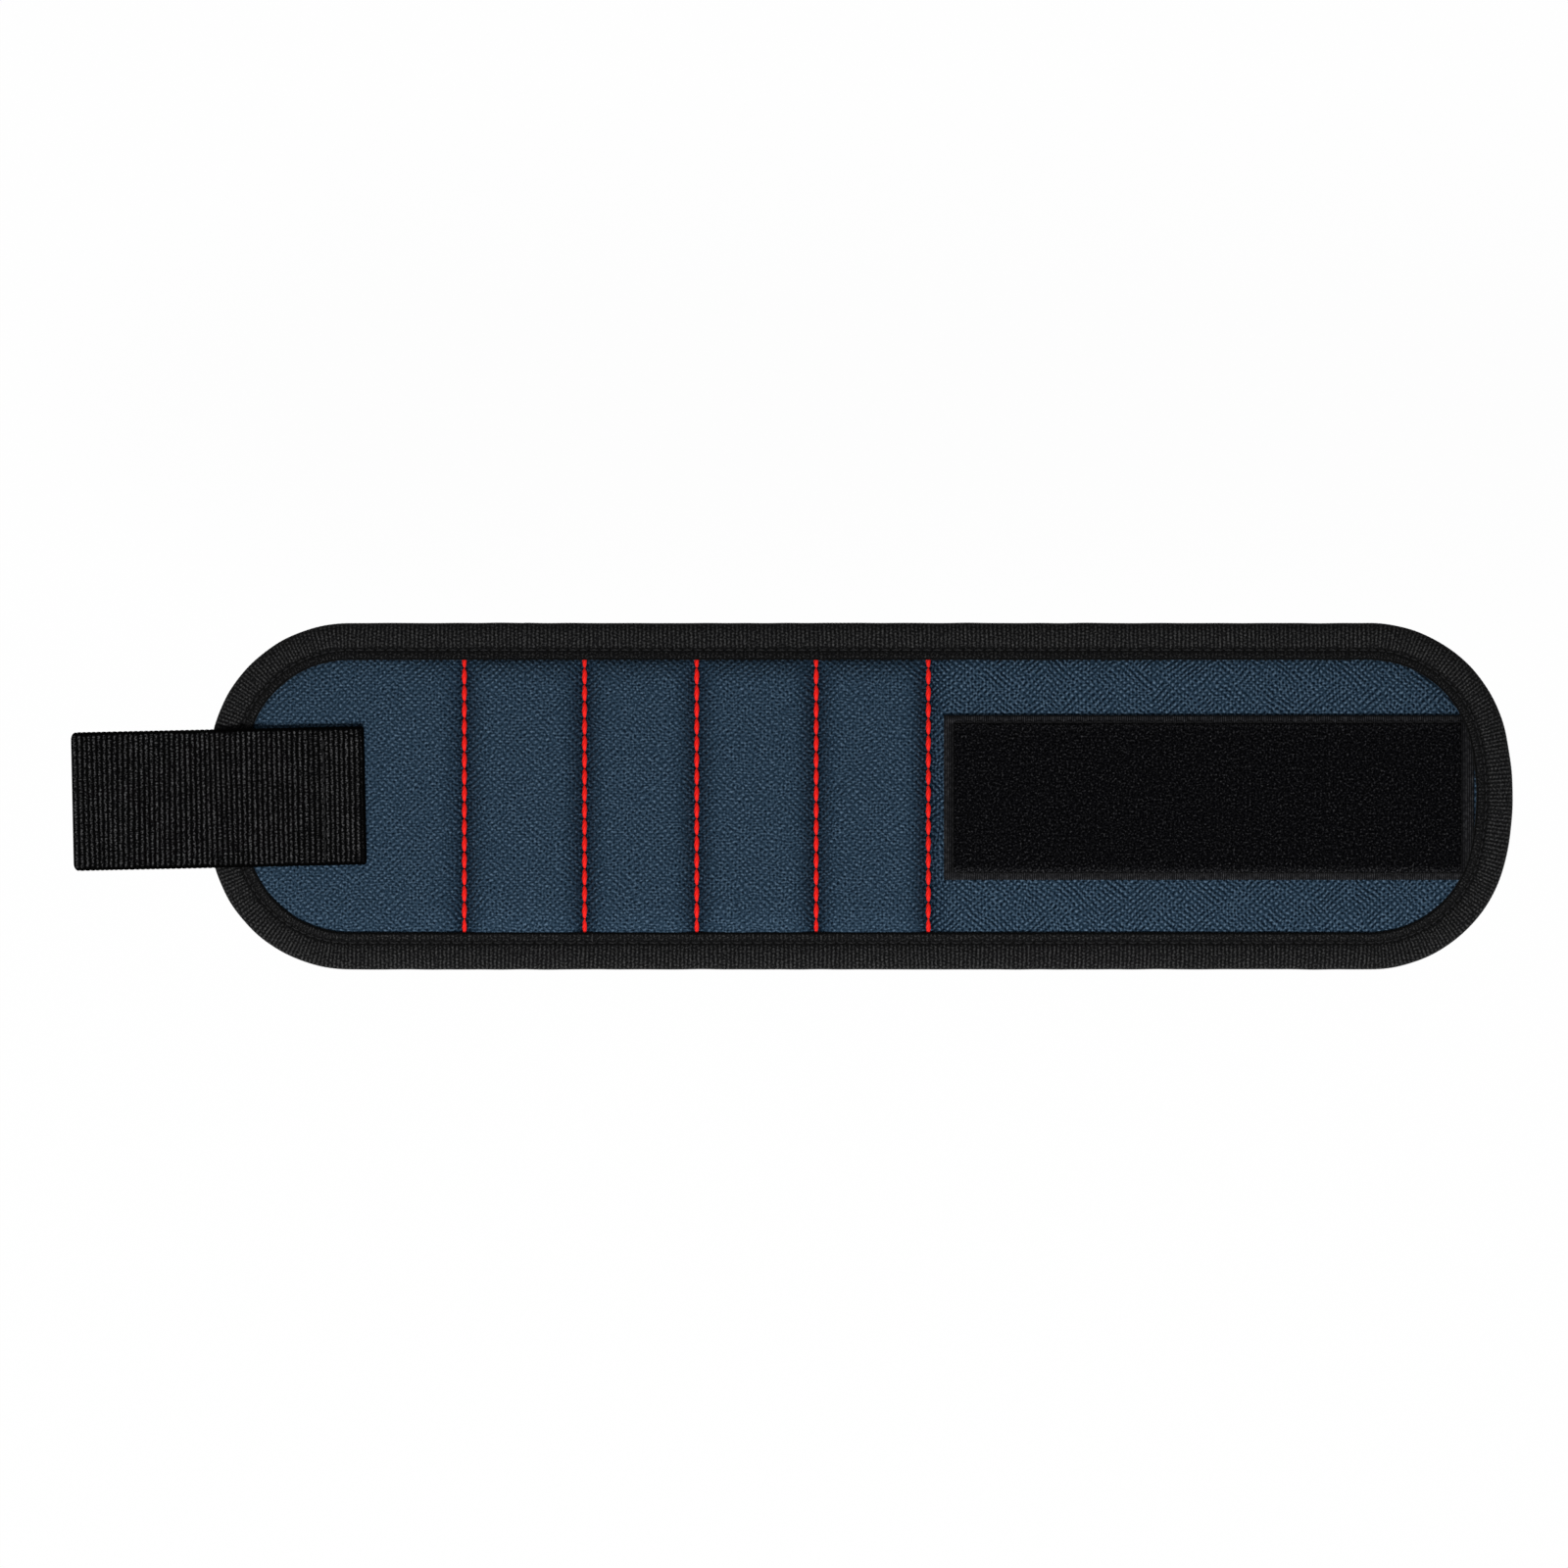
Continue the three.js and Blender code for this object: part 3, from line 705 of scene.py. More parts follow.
def webbing_material():
    """Black ribbed webbing: each rib a light row of small beads of yarn between dark gaps, and painted shade
    along its long edges and its sewn end.
    """
    look = Look("strap_webbing", 0.8, 0.015)
    u, v = look.flat
    wavy = u + (noise(u * 0.5, v * 0.5) - 0.5) * 0.3
    rib = abs((wavy * (math.pi / strap_pitch)).sin())
    row = (wavy / strap_pitch).floor()
    beads = noise(row * 5.1, v * 1.7)
    streak = noise(row * 3.7, v * 0.2)
    worn = noise(u * 0.12, v * 0.12)
    grain = noise(u * 2.2, v * 2.2, 1.0, 1.0)
    # The border term paints shade: a dark line within 1 mm of the long edges and of the sewn end.
    border = (abs(v) - (STRAP_WIDTH / 2 - 1.0)).maximum(u + (strap_left - STRAP_RIGHT + 1.0))
    worn_rib = streak * 0.3 + beads * 0.6 + worn * 0.25
    tone = rib.power(1.3) * worn_rib * 0.92 + (grain - 0.5) * 1.3 - 0.02 - (border * 2.0).clamp() * 0.6
    stops = [(0.0, 0, 0, 0), (0.4, 12, 12, 13), (1.0, 104, 104, 105)]
    return look.dress(tone, stops, beads * 0.6 + grain, 0.12)


def patch_border(u, v):
    """1 on the outer part of the loop patch's selvedge, and 0 where the pile is full."""
    middle = (loop_low[1] + loop_high[1]) / 2
    sides = abs(v - middle) * -1.0 + loop_width / 2
    ends = (u - loop_low[0]).minimum(u * -1.0 + loop_right)
    return (sides.minimum(ends + 0.9) * -0.5 + 1.9).clamp()


def pile_material():
    """Matt black loop pile with small bright specks. It thins out toward the selvedge."""
    look = Look("loop_pile", 0.95, 0.02)
    u, v = look.flat
    fuzz = noise(u, v, 1.9, 2.0)
    speck = noise(u + 17.0, v + 290.0, 1.7, 1.0)
    tone = (fuzz - 0.5) * 1.9 + speck.power(4.0) * 2.0 + 0.08 + patch_border(u, v) * 0.25
    stops = [(0.0, 1, 1, 2), (0.4, 15, 15, 17), (1.0, 62, 62, 64)]
    return look.dress(tone, stops, fuzz + speck, 0.3)


def loop_tape_material():
    """The woven ground of the loop tape, a fine ribbed selvedge, and painted shade along its upper edge."""
    look = Look("loop_tape", 0.85, 0.05, 0.02)
    u, v = look.flat
    ribs = (u * (TURN / SELVEDGE_PITCH)).sin()
    grain = noise(u, v)
    # Painted shade along the upper edge only, the side turned away from the lamp.
    upper_edge_shade = ((v - loop_high[1]) * 4.0 + 1.9).clamp()
    tone = ribs * 0.24 + grain - 0.42 + patch_border(u, v) * 0.33 - upper_edge_shade * 0.4
    stops = [(0.0, 3, 3, 4), (0.5, 25, 25, 27), (1.0, 76, 76, 78)]
    return look.dress(tone, stops, ribs * 0.3 + grain, 0.1)


def thread_material(name, dark, light, specular):
    """Sewing thread: fine fibres wind round it."""
    look = Look(name, 0.6, specular, 0.02)
    along, around = look.flat
    twist = (along * 4.2 + around * 6.0).sin()
    grain = noise(along * 2.0, around * 3.0)
    tone = twist * 0.2 + grain * 0.7 + 0.15
    return look.dress(tone, [(0.1, *dark), (0.8, *light)], twist + grain, 0.05)


def mesh_material():
    """Black spacer mesh with staggered holes."""
    look = Look("mesh_lining", 0.9, 0.12, 0.05)
    u, v = look.flat
    cell = (u * (math.pi / MESH_PITCH)).cos() * (v * (math.pi / mesh_row)).cos()
    grain = noise(u * 2.0, v * 2.0)
    knit = ((u + v * 0.5) * 5.5).sin() * 0.12
    tone = cell * -0.4 + grain * 0.35 + 0.38
    stops = [(0.1, 4, 4, 5), (0.4, 22, 23, 25), (1.0, 60, 62, 65)]
    return look.dress(tone, stops, cell * -0.6 + grain * 0.4 + knit, 0.4)


def foam_material():
    look = Look("pad_foam", 0.95, 0.1)
    cells = noise(*look.flat, 1.6, 3.0)
    return look.dress(cells, [(0.3, 38, 38, 40), (0.7, 72, 72, 75)], cells, 0.25)


def plating_material():
    """Nickel plating with faint turned marks."""
    look = Look("magnet_plating", 0.22, 0.5)
    set_inputs(look.shader, Metallic=1.0)
    u, v = look.flat
    marks = noise(u * 0.4, v * 6.0)
    return look.dress(marks, [(0.2, 176, 176, 178), (0.8, 205, 204, 200)], marks, 0.01)


def hook_material():
    look = Look("hook_tape", 0.45, 0.35)
    u, v = look.flat
    grain = noise(u * 1.4, v * 1.4)
    return look.dress(grain, [(0.3, 12, 12, 13), (0.8, 30, 30, 32)], grain, 0.1)


# The face cloth and the padded mesh lining

def cloth_length(places, heights):
    """The length of flat cloth that lies along these places and heights."""
    return float(np.sum(np.hypot(np.diff(places), np.diff(heights))))


def flat_cloth(xs, reach):
    """The flat size and area of the cloth over these columns, in metres."""
    middle = xs[len(xs) // 2]
    ys = np.linspace(-1, 1, int(2 * half_width / FACE_STEP)) * half_height(middle, PANEL_INSET)
    wide = cloth_length(xs, face_top(xs, np.zeros_like(xs))) / MM
    long = cloth_length(ys, face_top(np.full_like(ys, middle), ys)) / MM
    plan = np.sum((reach[1:] + reach[:-1]) * np.diff(xs))
    filled = plan / ((xs[-1] - xs[0]) * 2 * reach.max())
    return (wide, long), filled * wide * long


def build_face():
    cloth = cloth_material()
    for index in range(PIECES):
        xs, reach, body = panel(index, FACE_STEP, face_top, face_bottom)
        piece = make_piece(f"face_cloth_{index + 1}", *body, cloth)
        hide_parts(*cad_nodes("face", index))
        size, area = flat_cloth(xs, reach)
        bend_piece(piece)


def lining_bottom(x, y):
    """The wrist side of the lining, with the staggered holes of the mesh pressed into it."""
    inside = clamp((edge_distance(x, y) - BINDING_WIDTH) / 3) * clamp(seam_gap(x) / 2.5)
    cells = np.cos(math.pi * x / MESH_PITCH) * np.cos(math.pi * y / mesh_row)
    holes = MESH_HOLE * clamp(cells) * inside
    return layer(x, y, *LINING_LOWER) + holes


def lining_top(x, y):
    return layer(x, y, *LINING_UPPER)


def build_lining():
    mesh = mesh_material()
    for index in range(PIECES):
        body = panel(index, LINING_STEP, lining_top, lining_bottom)[2]
        piece = make_piece(f"mesh_lining_{index + 1}", *body, mesh)
        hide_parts(*cad_nodes("lining", index))
        bend_piece(piece)


# Stitches

def stitches(rows, thread, rings=14, sides=12, pinch=0.3, plied=False):
    """Plump stitches, thin where the thread dives into the cloth. Each row gives starts, ends and up."""
    width, height, arch = thread
    t = np.linspace(0, 1, rings)
    swell = pinch + (1 - pinch) * np.sin(math.pi * np.clip(t, 0.02, 0.98)) ** 0.6
    rise = np.sin(math.pi * t) ** 0.7
    angle = TURN * np.arange(sides) / sides
    grooves = np.ones((rings, sides))
    if plied:
        grooves -= PLY_DEPTH * (1 - np.abs(np.cos(PLIES / 2 * (angle - PLY_TWIST * t[:, None]))))
    wide = (width / 2 * swell[:, None] * np.cos(angle) * grooves)[None, ..., None]
    tall = (height / 2 * swell[:, None] * np.sin(angle) * grooves)[None, ..., None]
    points, flat = [], []
    for starts, ends, up in rows:
        axis = ends - starts
        side = unit(np.cross(axis, up))
        centre = starts[:, None] + axis[:, None] * t[:, None] + up * (arch * rise)[:, None]
        points.append(centre[:, :, None] + side[:, None, None] * wide + up * tall)
        along = np.linalg.norm(axis, axis=1)[:, None, None] * t[None, :, None]
        flat.append(joined(along, angle * width / 2))
    return tubes(np.concatenate(points), np.concatenate(flat))


def stitch_ends(seam, height_at, lift, dive):
    """Starts and ends of the red stitches along one seam. The last ones dive under the binding."""
    reach = half_width - BINDING_WIDTH
    first = math.floor((-reach - RED_PHASE) / RED_PITCH)
    last = math.ceil((reach - RED_PHASE) / RED_PITCH)
    holes = np.arange(first, last + 1) * RED_PITCH + RED_PHASE
    ends = []
    for hole in (holes[:-1] + RED_GAP, holes[1:] - RED_GAP):
        covered = np.abs(hole) > reach
        y = np.where(covered, np.sign(hole) * np.maximum(np.abs(hole), reach + DIVE_END), hole)
        x = np.full(len(y), seam)
        under = dive * clamp((np.abs(y) - reach) / DIVE_LENGTH)
        ends.append(joined(x, y, height_at(x, np.clip(y, -reach, reach)) + lift - under))
    return ends


def build_red_rows():
    thread = thread_material("red_thread", (244, 14, 12), (255, 42, 34), 0.1)
    for row, seam in enumerate(seams):
        upper = [(*stitch_ends(seam, face_top, *RED_SEAT), UP)]
        body = stitches(upper, RED_THREAD, plied=True, pinch=0.2)
        piece = make_piece(f"red_stitches_{row + 1}", *body, thread)
        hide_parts(f"stitch_row_{row + 1}")
        bend_piece(piece)
        lower = [(*stitch_ends(seam, lining_bottom, *WRIST_SEAT), -UP)]
        body = stitches(lower, WRIST_THREAD, plied=True)
        under = make_piece(f"wrist_side_stitches_{row + 1}", *body, thread)
        bend_piece(under)


# The edge binding

def binding_upper(inset):
    """Height of the binding's upper side: puffed outside, then a sewn groove, then a rise to the lip."""
    rest = (BINDING_FOLD - np.minimum(inset, BINDING_FOLD)) / BINDING_FOLD
    puffed = BINDING_MIDDLE + (BINDING_PEAK - BINDING_MIDDLE) * np.sqrt(np.maximum(1 - rest ** 2, 0))
    fall = BINDING_FALL * clamp((inset - BINDING_FOLD) / (BINDING_ROW - BINDING_FOLD)) ** 2
    rise = BINDING_RISE * clamp((inset - BINDING_ROW) / (BINDING_WIDTH - BINDING_ROW))
    groove = BINDING_GROOVE * np.exp(-((inset - BINDING_ROW) / GROOVE_WIDTH) ** 2)
    return puffed - fall + rise - groove


def binding_path():
    """The tape's outer side as (distance, height, rib share), from the upper lip round to the lower one."""
    inner = np.array(BINDING_STEPS)
    ribs = np.where(inner > BINDING_ROW - 0.3, 0.35, clamp(0.15 + inner * 0.6))
    upper = np.concatenate([BINDING_LIP, joined(inner, binding_upper(inner), ribs)])
    lower = upper[::-1].copy()
    lower[:, 1] = 2 * BINDING_MIDDLE - lower[:, 1]
    return np.concatenate([upper, [[0.0, BINDING_MIDDLE, 0.15]], lower])


def binding_sections(s):
    """Rings of the folded tape at lengths s along the outline, ribbed outside, and their flat map."""
    path = binding_path()
    along = unit(np.gradient(path[:, :2], axis=0))
    normals = joined(along[:, 1], -along[:, 0])
    lengths = np.concatenate([[0], np.cumsum(np.linalg.norm(np.diff(path[:, :2], axis=0), axis=1))])
    row = s[:, None]
    strength = 0.8 + 0.35 * waves(row, lengths * 2, 14, 11)
    lean = 1.6 * waves(row, lengths, 45, 12) + 1.6 * waves(row, lengths * 0.5, 15, 15)
    rib = np.cos(TURN * row / binding_pitch + lean)
    lift = BINDING_RIB_DEPTH * path[:, 2] * strength * rib + 0.06 * waves(row, lengths, 12, 13)
    outer = path[:, :2] + lift[..., None] * normals
    inside = np.arange(0, len(path), 4)[::-1]
    lining = path[inside, :2] - BINDING_TAPE * normals[inside]
    profile = np.concatenate([outer, np.broadcast_to(lining, (len(s), *lining.shape))], 1)
    base, inward = outline_at(s)
    xy = base[:, None] + inward[:, None] * profile[..., :1]
    side = np.where(np.arange(len(path)) <= len(path) // 2, path[:, 0], -path[:, 0])
    lean = np.concatenate([lean, np.zeros((len(s), len(inside)))], 1)
    flat = joined(row + lean * binding_pitch / TURN, np.concatenate([side, side[inside]]))
    return np.concatenate([xy, profile[..., 1:]], -1), flat


def rib_steps(start, end):
    """Lengths along the outline that meet every crest and hollow of the ribs."""
    step = binding_pitch / 4
    between = np.arange(math.floor(start / step) + 1, math.ceil(end / step)) * step
    return np.concatenate([[start], between, [end]])


def binding_spans():
    """Each binding piece: its name, its bend, its run along the outline and the CAD nodes it stands for."""
    last = PIECES - 1
    nodes = ["binding_left_end", "binding_upper_channel_1", "binding_lower_channel_1"]
    spans = [("left", 0, lower_length(cuts[1]), perimeter + upper_length(cuts[1]), nodes)]
    for index in range(1, last):
        a, b = cuts[index], cuts[index + 1]
        runs = {"upper": (upper_length(a), upper_length(b)), "lower": (lower_length(b), lower_length(a))}
        for side, run in runs.items():
            spans.append((f"{side}_{index + 1}", index, *run, [f"binding_{side}_{SEGMENTS[index + 1]}"]))
    spans.append(("right", last, upper_length(cuts[last]), lower_length(cuts[last]), ["binding_tail_3"]))
    return spans


def binding_row(start, end):
    """The black row that holds the binding, on both sides."""
    s = np.arange(math.ceil(start / BLACK_PITCH), math.ceil(end / BLACK_PITCH)) * BLACK_PITCH
    depth = binding_upper(np.array([BINDING_ROW]))[0] + THREAD_LIFT
    rows = []
    for height, up in ((depth, UP), (2 * BINDING_MIDDLE - depth, -UP)):
        ends = []
        for place in (s + BLACK_GAP, s + BLACK_PITCH - BLACK_GAP):
            base, inward = outline_at(place)
            ends.append(joined(*(base + inward * BINDING_ROW).T, height))
        rows.append((*ends, up))
    return stitches(rows, BLACK_THREAD, rings=6, sides=6)


def build_binding():
    tape = tape_material()
    thread = thread_material("black_thread", (8, 8, 9), (44, 44, 45), 0.05)
    for name, index, start, end, nodes in binding_spans():
        piece = make_piece(f"binding_{name}_tape", *loft(*binding_sections(rib_steps(start, end))), tape)
        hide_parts(*nodes)
        bend_piece(piece)
        sewn = make_piece(f"binding_{name}_stitches", *binding_row(start, end), thread)
        bend_piece(sewn)


# The loop patch on the tail

def patch_bottom(x, y):
    return face_top(x, y) + LOOP_CLEAR


def ground_top(x, y):
    """The woven ground, pressed flat where it runs under the binding's lip."""
    free = clamp((edge_distance(x, y) - BINDING_WIDTH + 0.3) / 2.5)
    border = np.minimum(np.minimum(y - loop_low[1], loop_high[1] - y), x - loop_low[0])
    rolled = 0.55 + 0.45 * ease(border / 2.0)
    return patch_bottom(x, y) + LOOP_PRESSED + (LOOP_GROUND - LOOP_PRESSED) * free * rolled


def pile_top(x, y):
    """The pile, uneven on top, which rises from the selvedge on all sides."""
    sides = np.minimum(y - loop_low[1], loop_high[1] - y) - SELVEDGE_SIDE
    ends = np.minimum(x - loop_low[0], loop_right + PILE_REACH - x) - SELVEDGE_END
    inside = np.clip(np.minimum(sides, ends), 0, None)
    full = loop_high[2] - plain_top - LOOP_GROUND - PILE_SHORT
    fuzz = (0.09 * waves(x, y, 1.9, 21) + 0.07 * waves(x, y, 1.2, 22)) * clamp(inside)
    return ground_top(x, y) + ease(inside / PILE_EDGE + 0.08, 1.7) * full + fuzz


def pile_bottom(x, y):
    return ground_top(x, y) - PILE_DEPTH


def pile_loops(left, right, seed):
    """Small arches of yarn, each turned its own way, that stand out of the pile."""
    rng = np.random.default_rng(seed)
    xs = np.arange(left + LOOP_JITTER, right - LOOP_JITTER, LOOP_SPACING)
    x, y = np.meshgrid(xs, np.arange(pile_low, pile_high, LOOP_SPACING))
    x = x.ravel() + rng.uniform(-LOOP_JITTER, LOOP_JITTER, x.size)
    y = y.ravel() + rng.uniform(-LOOP_JITTER, LOOP_JITTER, y.size)
    turn = rng.uniform(0, TURN, x.size)
    span = rng.uniform(*LOOP_SPANS, x.size)
    height = rng.uniform(*LOOP_HEIGHTS, x.size)
    t = np.linspace(0, math.pi, 5)
    along = joined(np.cos(turn), np.sin(turn), 0.0)
    across = joined(-np.sin(turn), np.cos(turn), 0.0)
    place = joined(x, y, pile_top(x, y) - LOOP_SUNK)
    centre = place[:, None] + along[:, None] * (np.cos(t) * span[:, None])[..., None]
    centre = centre + UP * (np.sin(t) * height[:, None])[..., None]
    out = along[:, None] * np.cos(t)[:, None] + UP * np.sin(t)[:, None]
    angle = TURN * np.arange(3) / 3
    ring = out[:, :, None] * np.cos(angle)[:, None] + across[:, None, None] * np.sin(angle)[:, None]
    points = centre[:, :, None] + LOOP_YARN * ring
    return tubes(points, place[:, None, None, :2] + 0.3 * points[..., 2:])


def patch_rows(left, right):
    """Black rows round the pile, from left to right of one part."""
    inset = SELVEDGE_SIDE - SELVEDGE_ROW
    low, high = loop_low[1] + inset, loop_high[1] - inset
    start, end = loop_low[0] + SELVEDGE_END, loop_right - SELVEDGE_END
    places = []
    for y in (low, high):
        x = np.arange(start, end - 1, PATCH_PITCH)
        x = x[(x >= left) & (x + PATCH_PITCH <= right)]
        places.append([(x + PATCH_GAP, y), (x + PATCH_PITCH - PATCH_GAP, y)])
    for x in (start - SELVEDGE_ROW, end + SELVEDGE_ROW):
        if left <= x <= right:
            y = np.arange(low, high - 1, PATCH_PITCH)
            places.append([(x, y + PATCH_GAP), (x, y + PATCH_PITCH - PATCH_GAP)])
    rows = []
    for both in places:
        both = [np.broadcast_arrays(*place) for place in both]
        rows.append((*[joined(x, y, ground_top(x, y) + THREAD_LIFT) for x, y in both], UP))
    return stitches(rows, PATCH_THREAD, rings=7, sides=6)


def build_loop_patch():
    ground = loop_tape_material()
    pile = pile_material()
    thread = thread_material("patch_thread", (3, 3, 4), (26, 26, 27), 0.05)
    edges = [loop_low[0], cuts[SEAM_COUNT + 1], loop_right + LOOP_REACH]
    nodes = [["loop_patch_1"], ["loop_patch_2", "loop_patch_3"]]
    rows = int(loop_width / LOOP_STEP)
    for part in range(2):
        left, right = edges[part], edges[part + 1]
        xs = columns(left, right, LOOP_STEP)
        lip = half_height(xs, BINDING_WIDTH - LOOP_TUCK)
        low = np.maximum(loop_low[1], -lip)
        high = np.minimum(loop_high[1], lip)
        body = slab(xs, low, high, rows, ground_top, patch_bottom)
        tape = make_piece(f"loop_tape_ground_{part + 1}", *body, ground)
        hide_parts(*nodes[part])
        bend_piece(tape)
        left = max(left, loop_low[0] + SELVEDGE_END)
        right = min(right, loop_right - SELVEDGE_END + PILE_REACH)
        xs = columns(left, right, LOOP_STEP)
        low = np.full(len(xs), pile_low)
        high = np.full(len(xs), pile_high)
        over = {
            "loop_pile": (slab(xs, low, high, rows, pile_top, pile_bottom), pile),
            "pile_loops": (pile_loops(left, right, LOOP_SEED + part), pile),
            "patch_stitches": (patch_rows(edges[part], edges[part + 1]), thread),
        }
        for name, (body, material) in over.items():
            piece = make_piece(f"{name}_{part + 1}", *body, material)
            bend_piece(piece)


# The strap and its hook tape

def strap_place(local):
    """From the strap's own axes, which start at its hinge, to the band's."""
    u, v, w = np.moveaxis(local, -1, 0)
    x = hinge[0] + u * math.cos(skew) - v * math.sin(skew)
    y = hinge[1] + u * math.sin(skew) + v * math.cos(skew)
    return joined(x, y, hinge[2] + w)


def bend_strap(piece):
    """Bakes the strap piece's placement into its mesh."""
    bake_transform(piece)


def strap_ring():
    """The strap's section as (share of half width, share of half thickness), with round selvedges."""
    across = np.linspace(-0.965, 0.965, 46)
    edge = np.array([[0.985, 0.86], [1.0, 0.3], [1.0, -0.3], [0.985, -0.86]])
    return np.concatenate([joined(across, 1.0), edge, joined(across[::-2], -1.0), edge[::-1] * [-1, 1]])


def build_strap():
    webbing = webbing_material()
    ring = strap_ring()
    u = np.linspace(strap_left, STRAP_RIGHT, STRAP_RIBS * 8 + 1)[:, None]
    to_end = np.minimum(u - strap_left, STRAP_RIGHT - u)
    corner = np.where(u < 0, STRAP_CORNER, STRAP_CORNER * 0.6)
    short = np.clip(corner - to_end, 0, None)
    half = STRAP_WIDTH / 2 - (corner - np.sqrt(np.maximum(corner ** 2 - short ** 2, 0)))
    v = ring[:, 0] * half
    wobble = 0.25 * waves(u, v * 0.15, 14, 31) + 0.05 * waves(u, v, 5, 32)
    phase = math.pi * (u - strap_left + wobble) / strap_pitch
    rib = np.abs(np.sin(phase)) ** 0.8
    strength = 0.8 + 0.3 * waves(u, v, 9, 33)
    thin = 1 - 0.35 * clamp(1 - to_end / 0.5)
    face = np.sign(ring[:, 1]) * (np.abs(ring[:, 1]) > 0.8)
    w = ring[:, 1] * STRAP_THICKNESS / 2 * thin - face * STRAP_RIB_DEPTH * (1 - rib) * strength
    w = w + 0.08 * waves(u, v * 0.5, 25, 34)
    edge = (np.abs(ring[:, 0]) > 0.95) * np.sign(ring[:, 0])
    v = v - edge * SELVEDGE_RIB_DEPTH * (1 - rib)
    flat = joined(phase * strap_pitch / math.pi, v)
    piece = make_piece("strap_webbing", *loft(strap_place(joined(u, v, w)), flat), webbing)
    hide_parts("strap_sewn_end", "strap_tab")
    bend_strap(piece)


def sew_strap():
    """The black row that holds the strap on the band."""
    thread = thread_material("strap_thread", (4, 4, 5), (30, 30, 31), 0.06)
    edge = STRAP_WIDTH / 2 - STRAP_ROW_MARGIN
    v = np.arange(-edge, edge - 2, STRAP_STITCH)
    height = STRAP_THICKNESS / 2 - STRAP_ROW_DEPTH
    both = (v + STRAP_GAP, v + STRAP_STITCH - STRAP_GAP)
    row = (*[strap_place(joined(STRAP_ROW, across, height)) for across in both], UP)
    piece = make_piece("strap_stitches", *stitches([row], STRAP_THREAD, rings=8, sides=8), thread)
    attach(piece, "left_end")


def hook_shapes(far, near, half, under):
    """Bent plastic hooks in rows, every second row turned the other way."""
    rng = np.random.default_rng(HOOK_SEED)
    us = np.arange(far + HOOK_FIRST, near - HOOK_LAST, HOOK_PITCH)
    u, v = np.meshgrid(us, np.arange(HOOK_FIRST - half, half - HOOK_LAST, HOOK_PITCH))
    row = np.round((v.ravel() + half) / HOOK_PITCH).astype(int)
    u = u.ravel() + np.where(row % 2, HOOK_PITCH / 2, 0) + rng.uniform(-HOOK_JITTER, HOOK_JITTER, u.size)
    v = v.ravel() + rng.uniform(-HOOK_JITTER, HOOK_JITTER, v.size)
    way = np.where(row % 2, -1.0, 1.0)
    path = np.array(HOOK_PATH) * HOOK_REACH
    size = np.array(HOOK_RADII)[:, None]
    angle = TURN * np.arange(5) / 5
    lean = unit(np.gradient(path, axis=0))
    ring_u = path[:, :1] - lean[:, 1:] * size * np.cos(angle)
    ring_w = path[:, 1:] + lean[:, :1] * size * np.cos(angle)
    u, v, way = [values[:, None, None] for values in (u, v, way)]
    local = joined(u + way * ring_u, v + size * np.sin(angle), under + ring_w)
    points, faces, flat = tubes(local, local[..., :2])
    return strap_place(points), faces, flat


def build_hooks():
    """Hook tape under the tab: a woven ground with rows of small hooks that point down."""
    material = hook_material()
    near, far = -HOOK_START, strap_left + HOOK_MARGIN
    half = STRAP_WIDTH / 2 - HOOK_MARGIN
    v = np.linspace(-half, half, 35)
    top = -STRAP_THICKNESS / 2 - HOOK_CLEAR
    under = top - HOOK_GROUND
    ribs = HOOK_RIB_DEPTH * np.sin(TURN * v[::-1] / HOOK_PITCH)
    section = np.concatenate([joined(v, top), joined(v[::-1], under + ribs)])
    local = joined(columns(far, near, 1.0)[:, None], *section.T)
    ground = make_piece("hook_tape_ground", *loft(strap_place(local), local[..., :2]), material)
    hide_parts("hook_patch")
    bend_strap(ground)
    hooks = make_piece("hook_tape_hooks", *hook_shapes(far, near, half, under), material)
    bend_strap(hooks)


# The foam pads and the magnets in them

def pad_ring(centre, half, hole, low, high):
    """One cell of a pad: a soft block round a magnet's pocket, closed both ways round."""
    turn = TURN * np.arange(96) / 96
    across, along = np.cos(turn), np.sin(turn)
    corners = np.abs(across / half[0]) ** PAD_SQUARE + np.abs(along / half[1]) ** PAD_SQUARE
    block = corners ** (-1 / PAD_SQUARE)
    share = np.array([0, 0, 0.05, 0.3, 0.6, 0.9, 0.98, 1.0, 1.0, 0.98, 0.9, 0.5, 0.05])
    height = np.array([0.12, 0.88, 1.0, 1.0, 1.0, 1.0, 0.95, 0.8, 0.2, 0.05, 0, 0, 0])
    reach = hole + (block[:, None] - hole) * share
    z = low + (high - low) * height + 0.05 * waves(turn[:, None] * 10, share * 20, 8, 61)
    return joined(centre[0] + reach * across[:, None], centre[1] + reach * along[:, None], z)


def build_magnet(node, low, high, plating):
    """A nickel-plated disc with rounded rims."""
    centre = (low + high) / 2
    radius = (high[0] - low[0]) / 2
    turn = TURN * np.arange(72) / 72
    inward, depth = DISC_RIM.T
    lower, upper = joined(radius - inward, low[2] + depth), joined(radius - inward, high[2] - depth)
    profile = np.concatenate([lower, upper[::-1]])
    x = centre[0] + profile[:, :1] * np.cos(turn)
    y = centre[1] + profile[:, :1] * np.sin(turn)
    disc = make_piece(f"{node}_disc", *loft(joined(x, y, profile[:, 1:]), joined(x, y)), plating, sharp=40)
    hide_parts(node)
    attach(disc, f"channel_{node.split('_')[1]}")


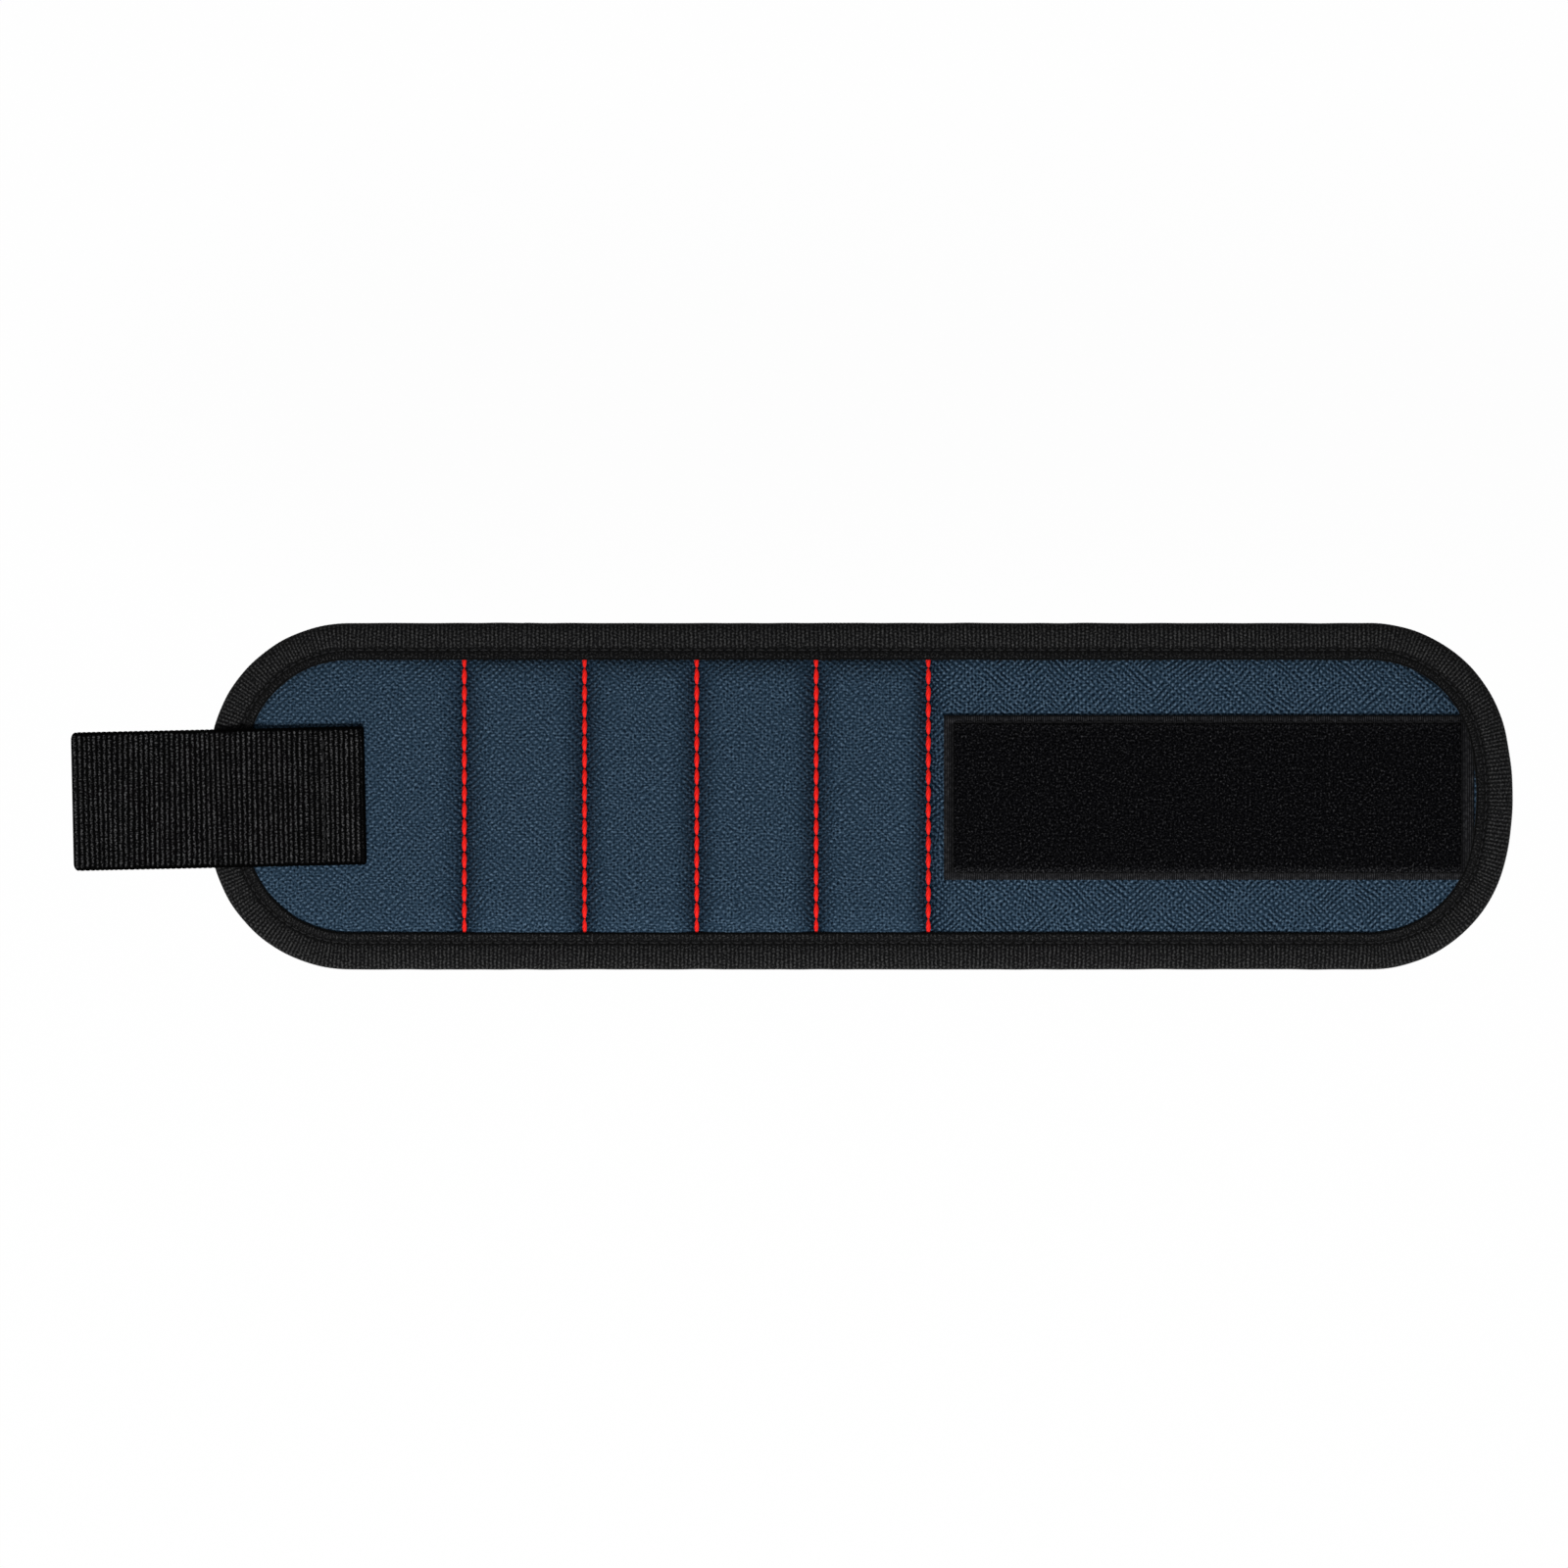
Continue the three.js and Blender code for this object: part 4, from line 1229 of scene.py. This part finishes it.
def build_pads():
    foam = foam_material()
    plating = plating_material()
    for channel in range(1, CHANNELS + 1):
        low, high = node_box(f"magnet_pad_{channel}")
        cells = []
        for number in range(1, MAGNETS + 1):
            magnet = f"magnet_{channel}_{number}"
            magnet_low, magnet_high = node_box(magnet)
            middle = (magnet_low[0] + magnet_high[0]) / 2
            place = (middle, low[1] + (high[1] - low[1]) * (number - 0.5) / MAGNETS)
            half = ((high[0] - low[0]) / 2, (high[1] - low[1]) / MAGNETS / 2 - PAD_SPLIT)
            hole = (magnet_high[0] - magnet_low[0]) / 2 + POCKET_ROOM
            cells.append(pad_ring(place, half, hole, low[2], high[2]))
            build_magnet(magnet, magnet_low, magnet_high, plating)
        pad = make_piece(f"foam_pad_{channel}", *wreaths(np.array(cells)), foam)
        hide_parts(f"magnet_pad_{channel}")
        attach(pad, f"channel_{channel}")


# Stage, light and camera

def build_camera():
    data = bpy.data.cameras.new("camera")
    data.lens = LENS
    data.sensor_width = SENSOR
    data.clip_end = SIGHT
    camera = add_object("camera", data)
    x = (PHOTO_WIDTH / 2 - PHOTO_ORIGIN[0]) * MM_PER_PIXEL
    y = (PHOTO_ORIGIN[1] - PHOTO_WIDTH / 2) * MM_PER_PIXEL
    distance = PHOTO_WIDTH * MM_PER_PIXEL * LENS / SENSOR
    camera.location = (x / MM, y / MM, (distance + plain_top) / MM)
    bpy.context.scene.camera = camera


def seen_directly(tree):
    """1 for what the camera sees, also in a mirror or through glass."""
    path = tree.nodes.new("ShaderNodeLightPath")
    seen = Field(tree, path.outputs["Is Camera Ray"])
    for ray in ("Is Glossy Ray", "Is Transmission Ray"):
        seen = seen.maximum(Field(tree, path.outputs[ray]))
    return seen


def mixed(tree, share, first, second):
    """A mix of two shaders: the first where share is 0 and the second where it is 1."""
    node = tree.nodes.new("ShaderNodeMixShader")
    for place, socket in enumerate([share, first.outputs[0], second.outputs[0]]):
        tree.links.new(socket, node.inputs[place])
    return node


def floor_material():
    """White to the camera, with a faint shadow, plain white paper to the light, and clear from below."""
    material = bpy.data.materials.new("floor")
    material.use_nodes = True
    tree = material.node_tree
    paper = tree.nodes["Principled BSDF"]
    set_inputs(paper, Base_Color=PAPER, Roughness=1.0, Specular_IOR_Level=0.0)
    glow = tree.nodes.new("ShaderNodeEmission")
    set_inputs(glow, Color=WHITE)
    lit = mixed(tree, (seen_directly(tree) * FLOOR_GLOW).socket, paper, glow)
    clear = tree.nodes.new("ShaderNodeBsdfTransparent")
    below = tree.nodes.new("ShaderNodeNewGeometry").outputs["Backfacing"]
    sides = mixed(tree, below, lit, clear)
    tree.links.new(sides.outputs[0], tree.nodes["Material Output"].inputs["Surface"])
    return material


def build_floor():
    """A plain white floor, low enough for the wrapped band."""
    half = FLOOR_SIZE / 2
    mesh = bpy.data.meshes.new("floor")
    corners = [(-half, -half, 0), (half, -half, 0), (half, half, 0), (-half, half, 0)]
    mesh.from_pydata(corners, [], [(0, 1, 2, 3)])
    mesh.materials.append(floor_material())
    floor = add_object("floor", mesh)
    floor.location.z = -FLOOR_DROP


def build_light():
    """Soft light from all round and one large lamp. The camera sees plain white."""
    world = bpy.data.worlds.new("studio")
    bpy.context.scene.world = world
    world.use_nodes = True
    tree = world.node_tree
    soft = tree.nodes["Background"]
    white = tree.nodes.new("ShaderNodeBackground")
    set_inputs(soft, Color=WHITE, Strength=SOFT_LIGHT)
    set_inputs(white, Color=WHITE, Strength=1.0)
    both = mixed(tree, seen_directly(tree).socket, soft, white)
    tree.links.new(both.outputs[0], tree.nodes["World Output"].inputs["Surface"])
    data = bpy.data.lights.new("key", "AREA")
    data.size = LAMP_SIZE
    data.energy = LAMP_POWER
    lamp = add_object("key", data)
    lamp.location = LAMP_PLACE
    lamp.rotation_euler = (-Vector(LAMP_PLACE)).to_track_quat("-Z", "Y").to_euler()


build_camera()
build_floor()
build_light()
build_face()
build_lining()
build_binding()
build_red_rows()
build_loop_patch()
build_strap()
sew_strap()
build_hooks()
build_pads()

bpy.context.scene.view_settings.view_transform = "Standard"
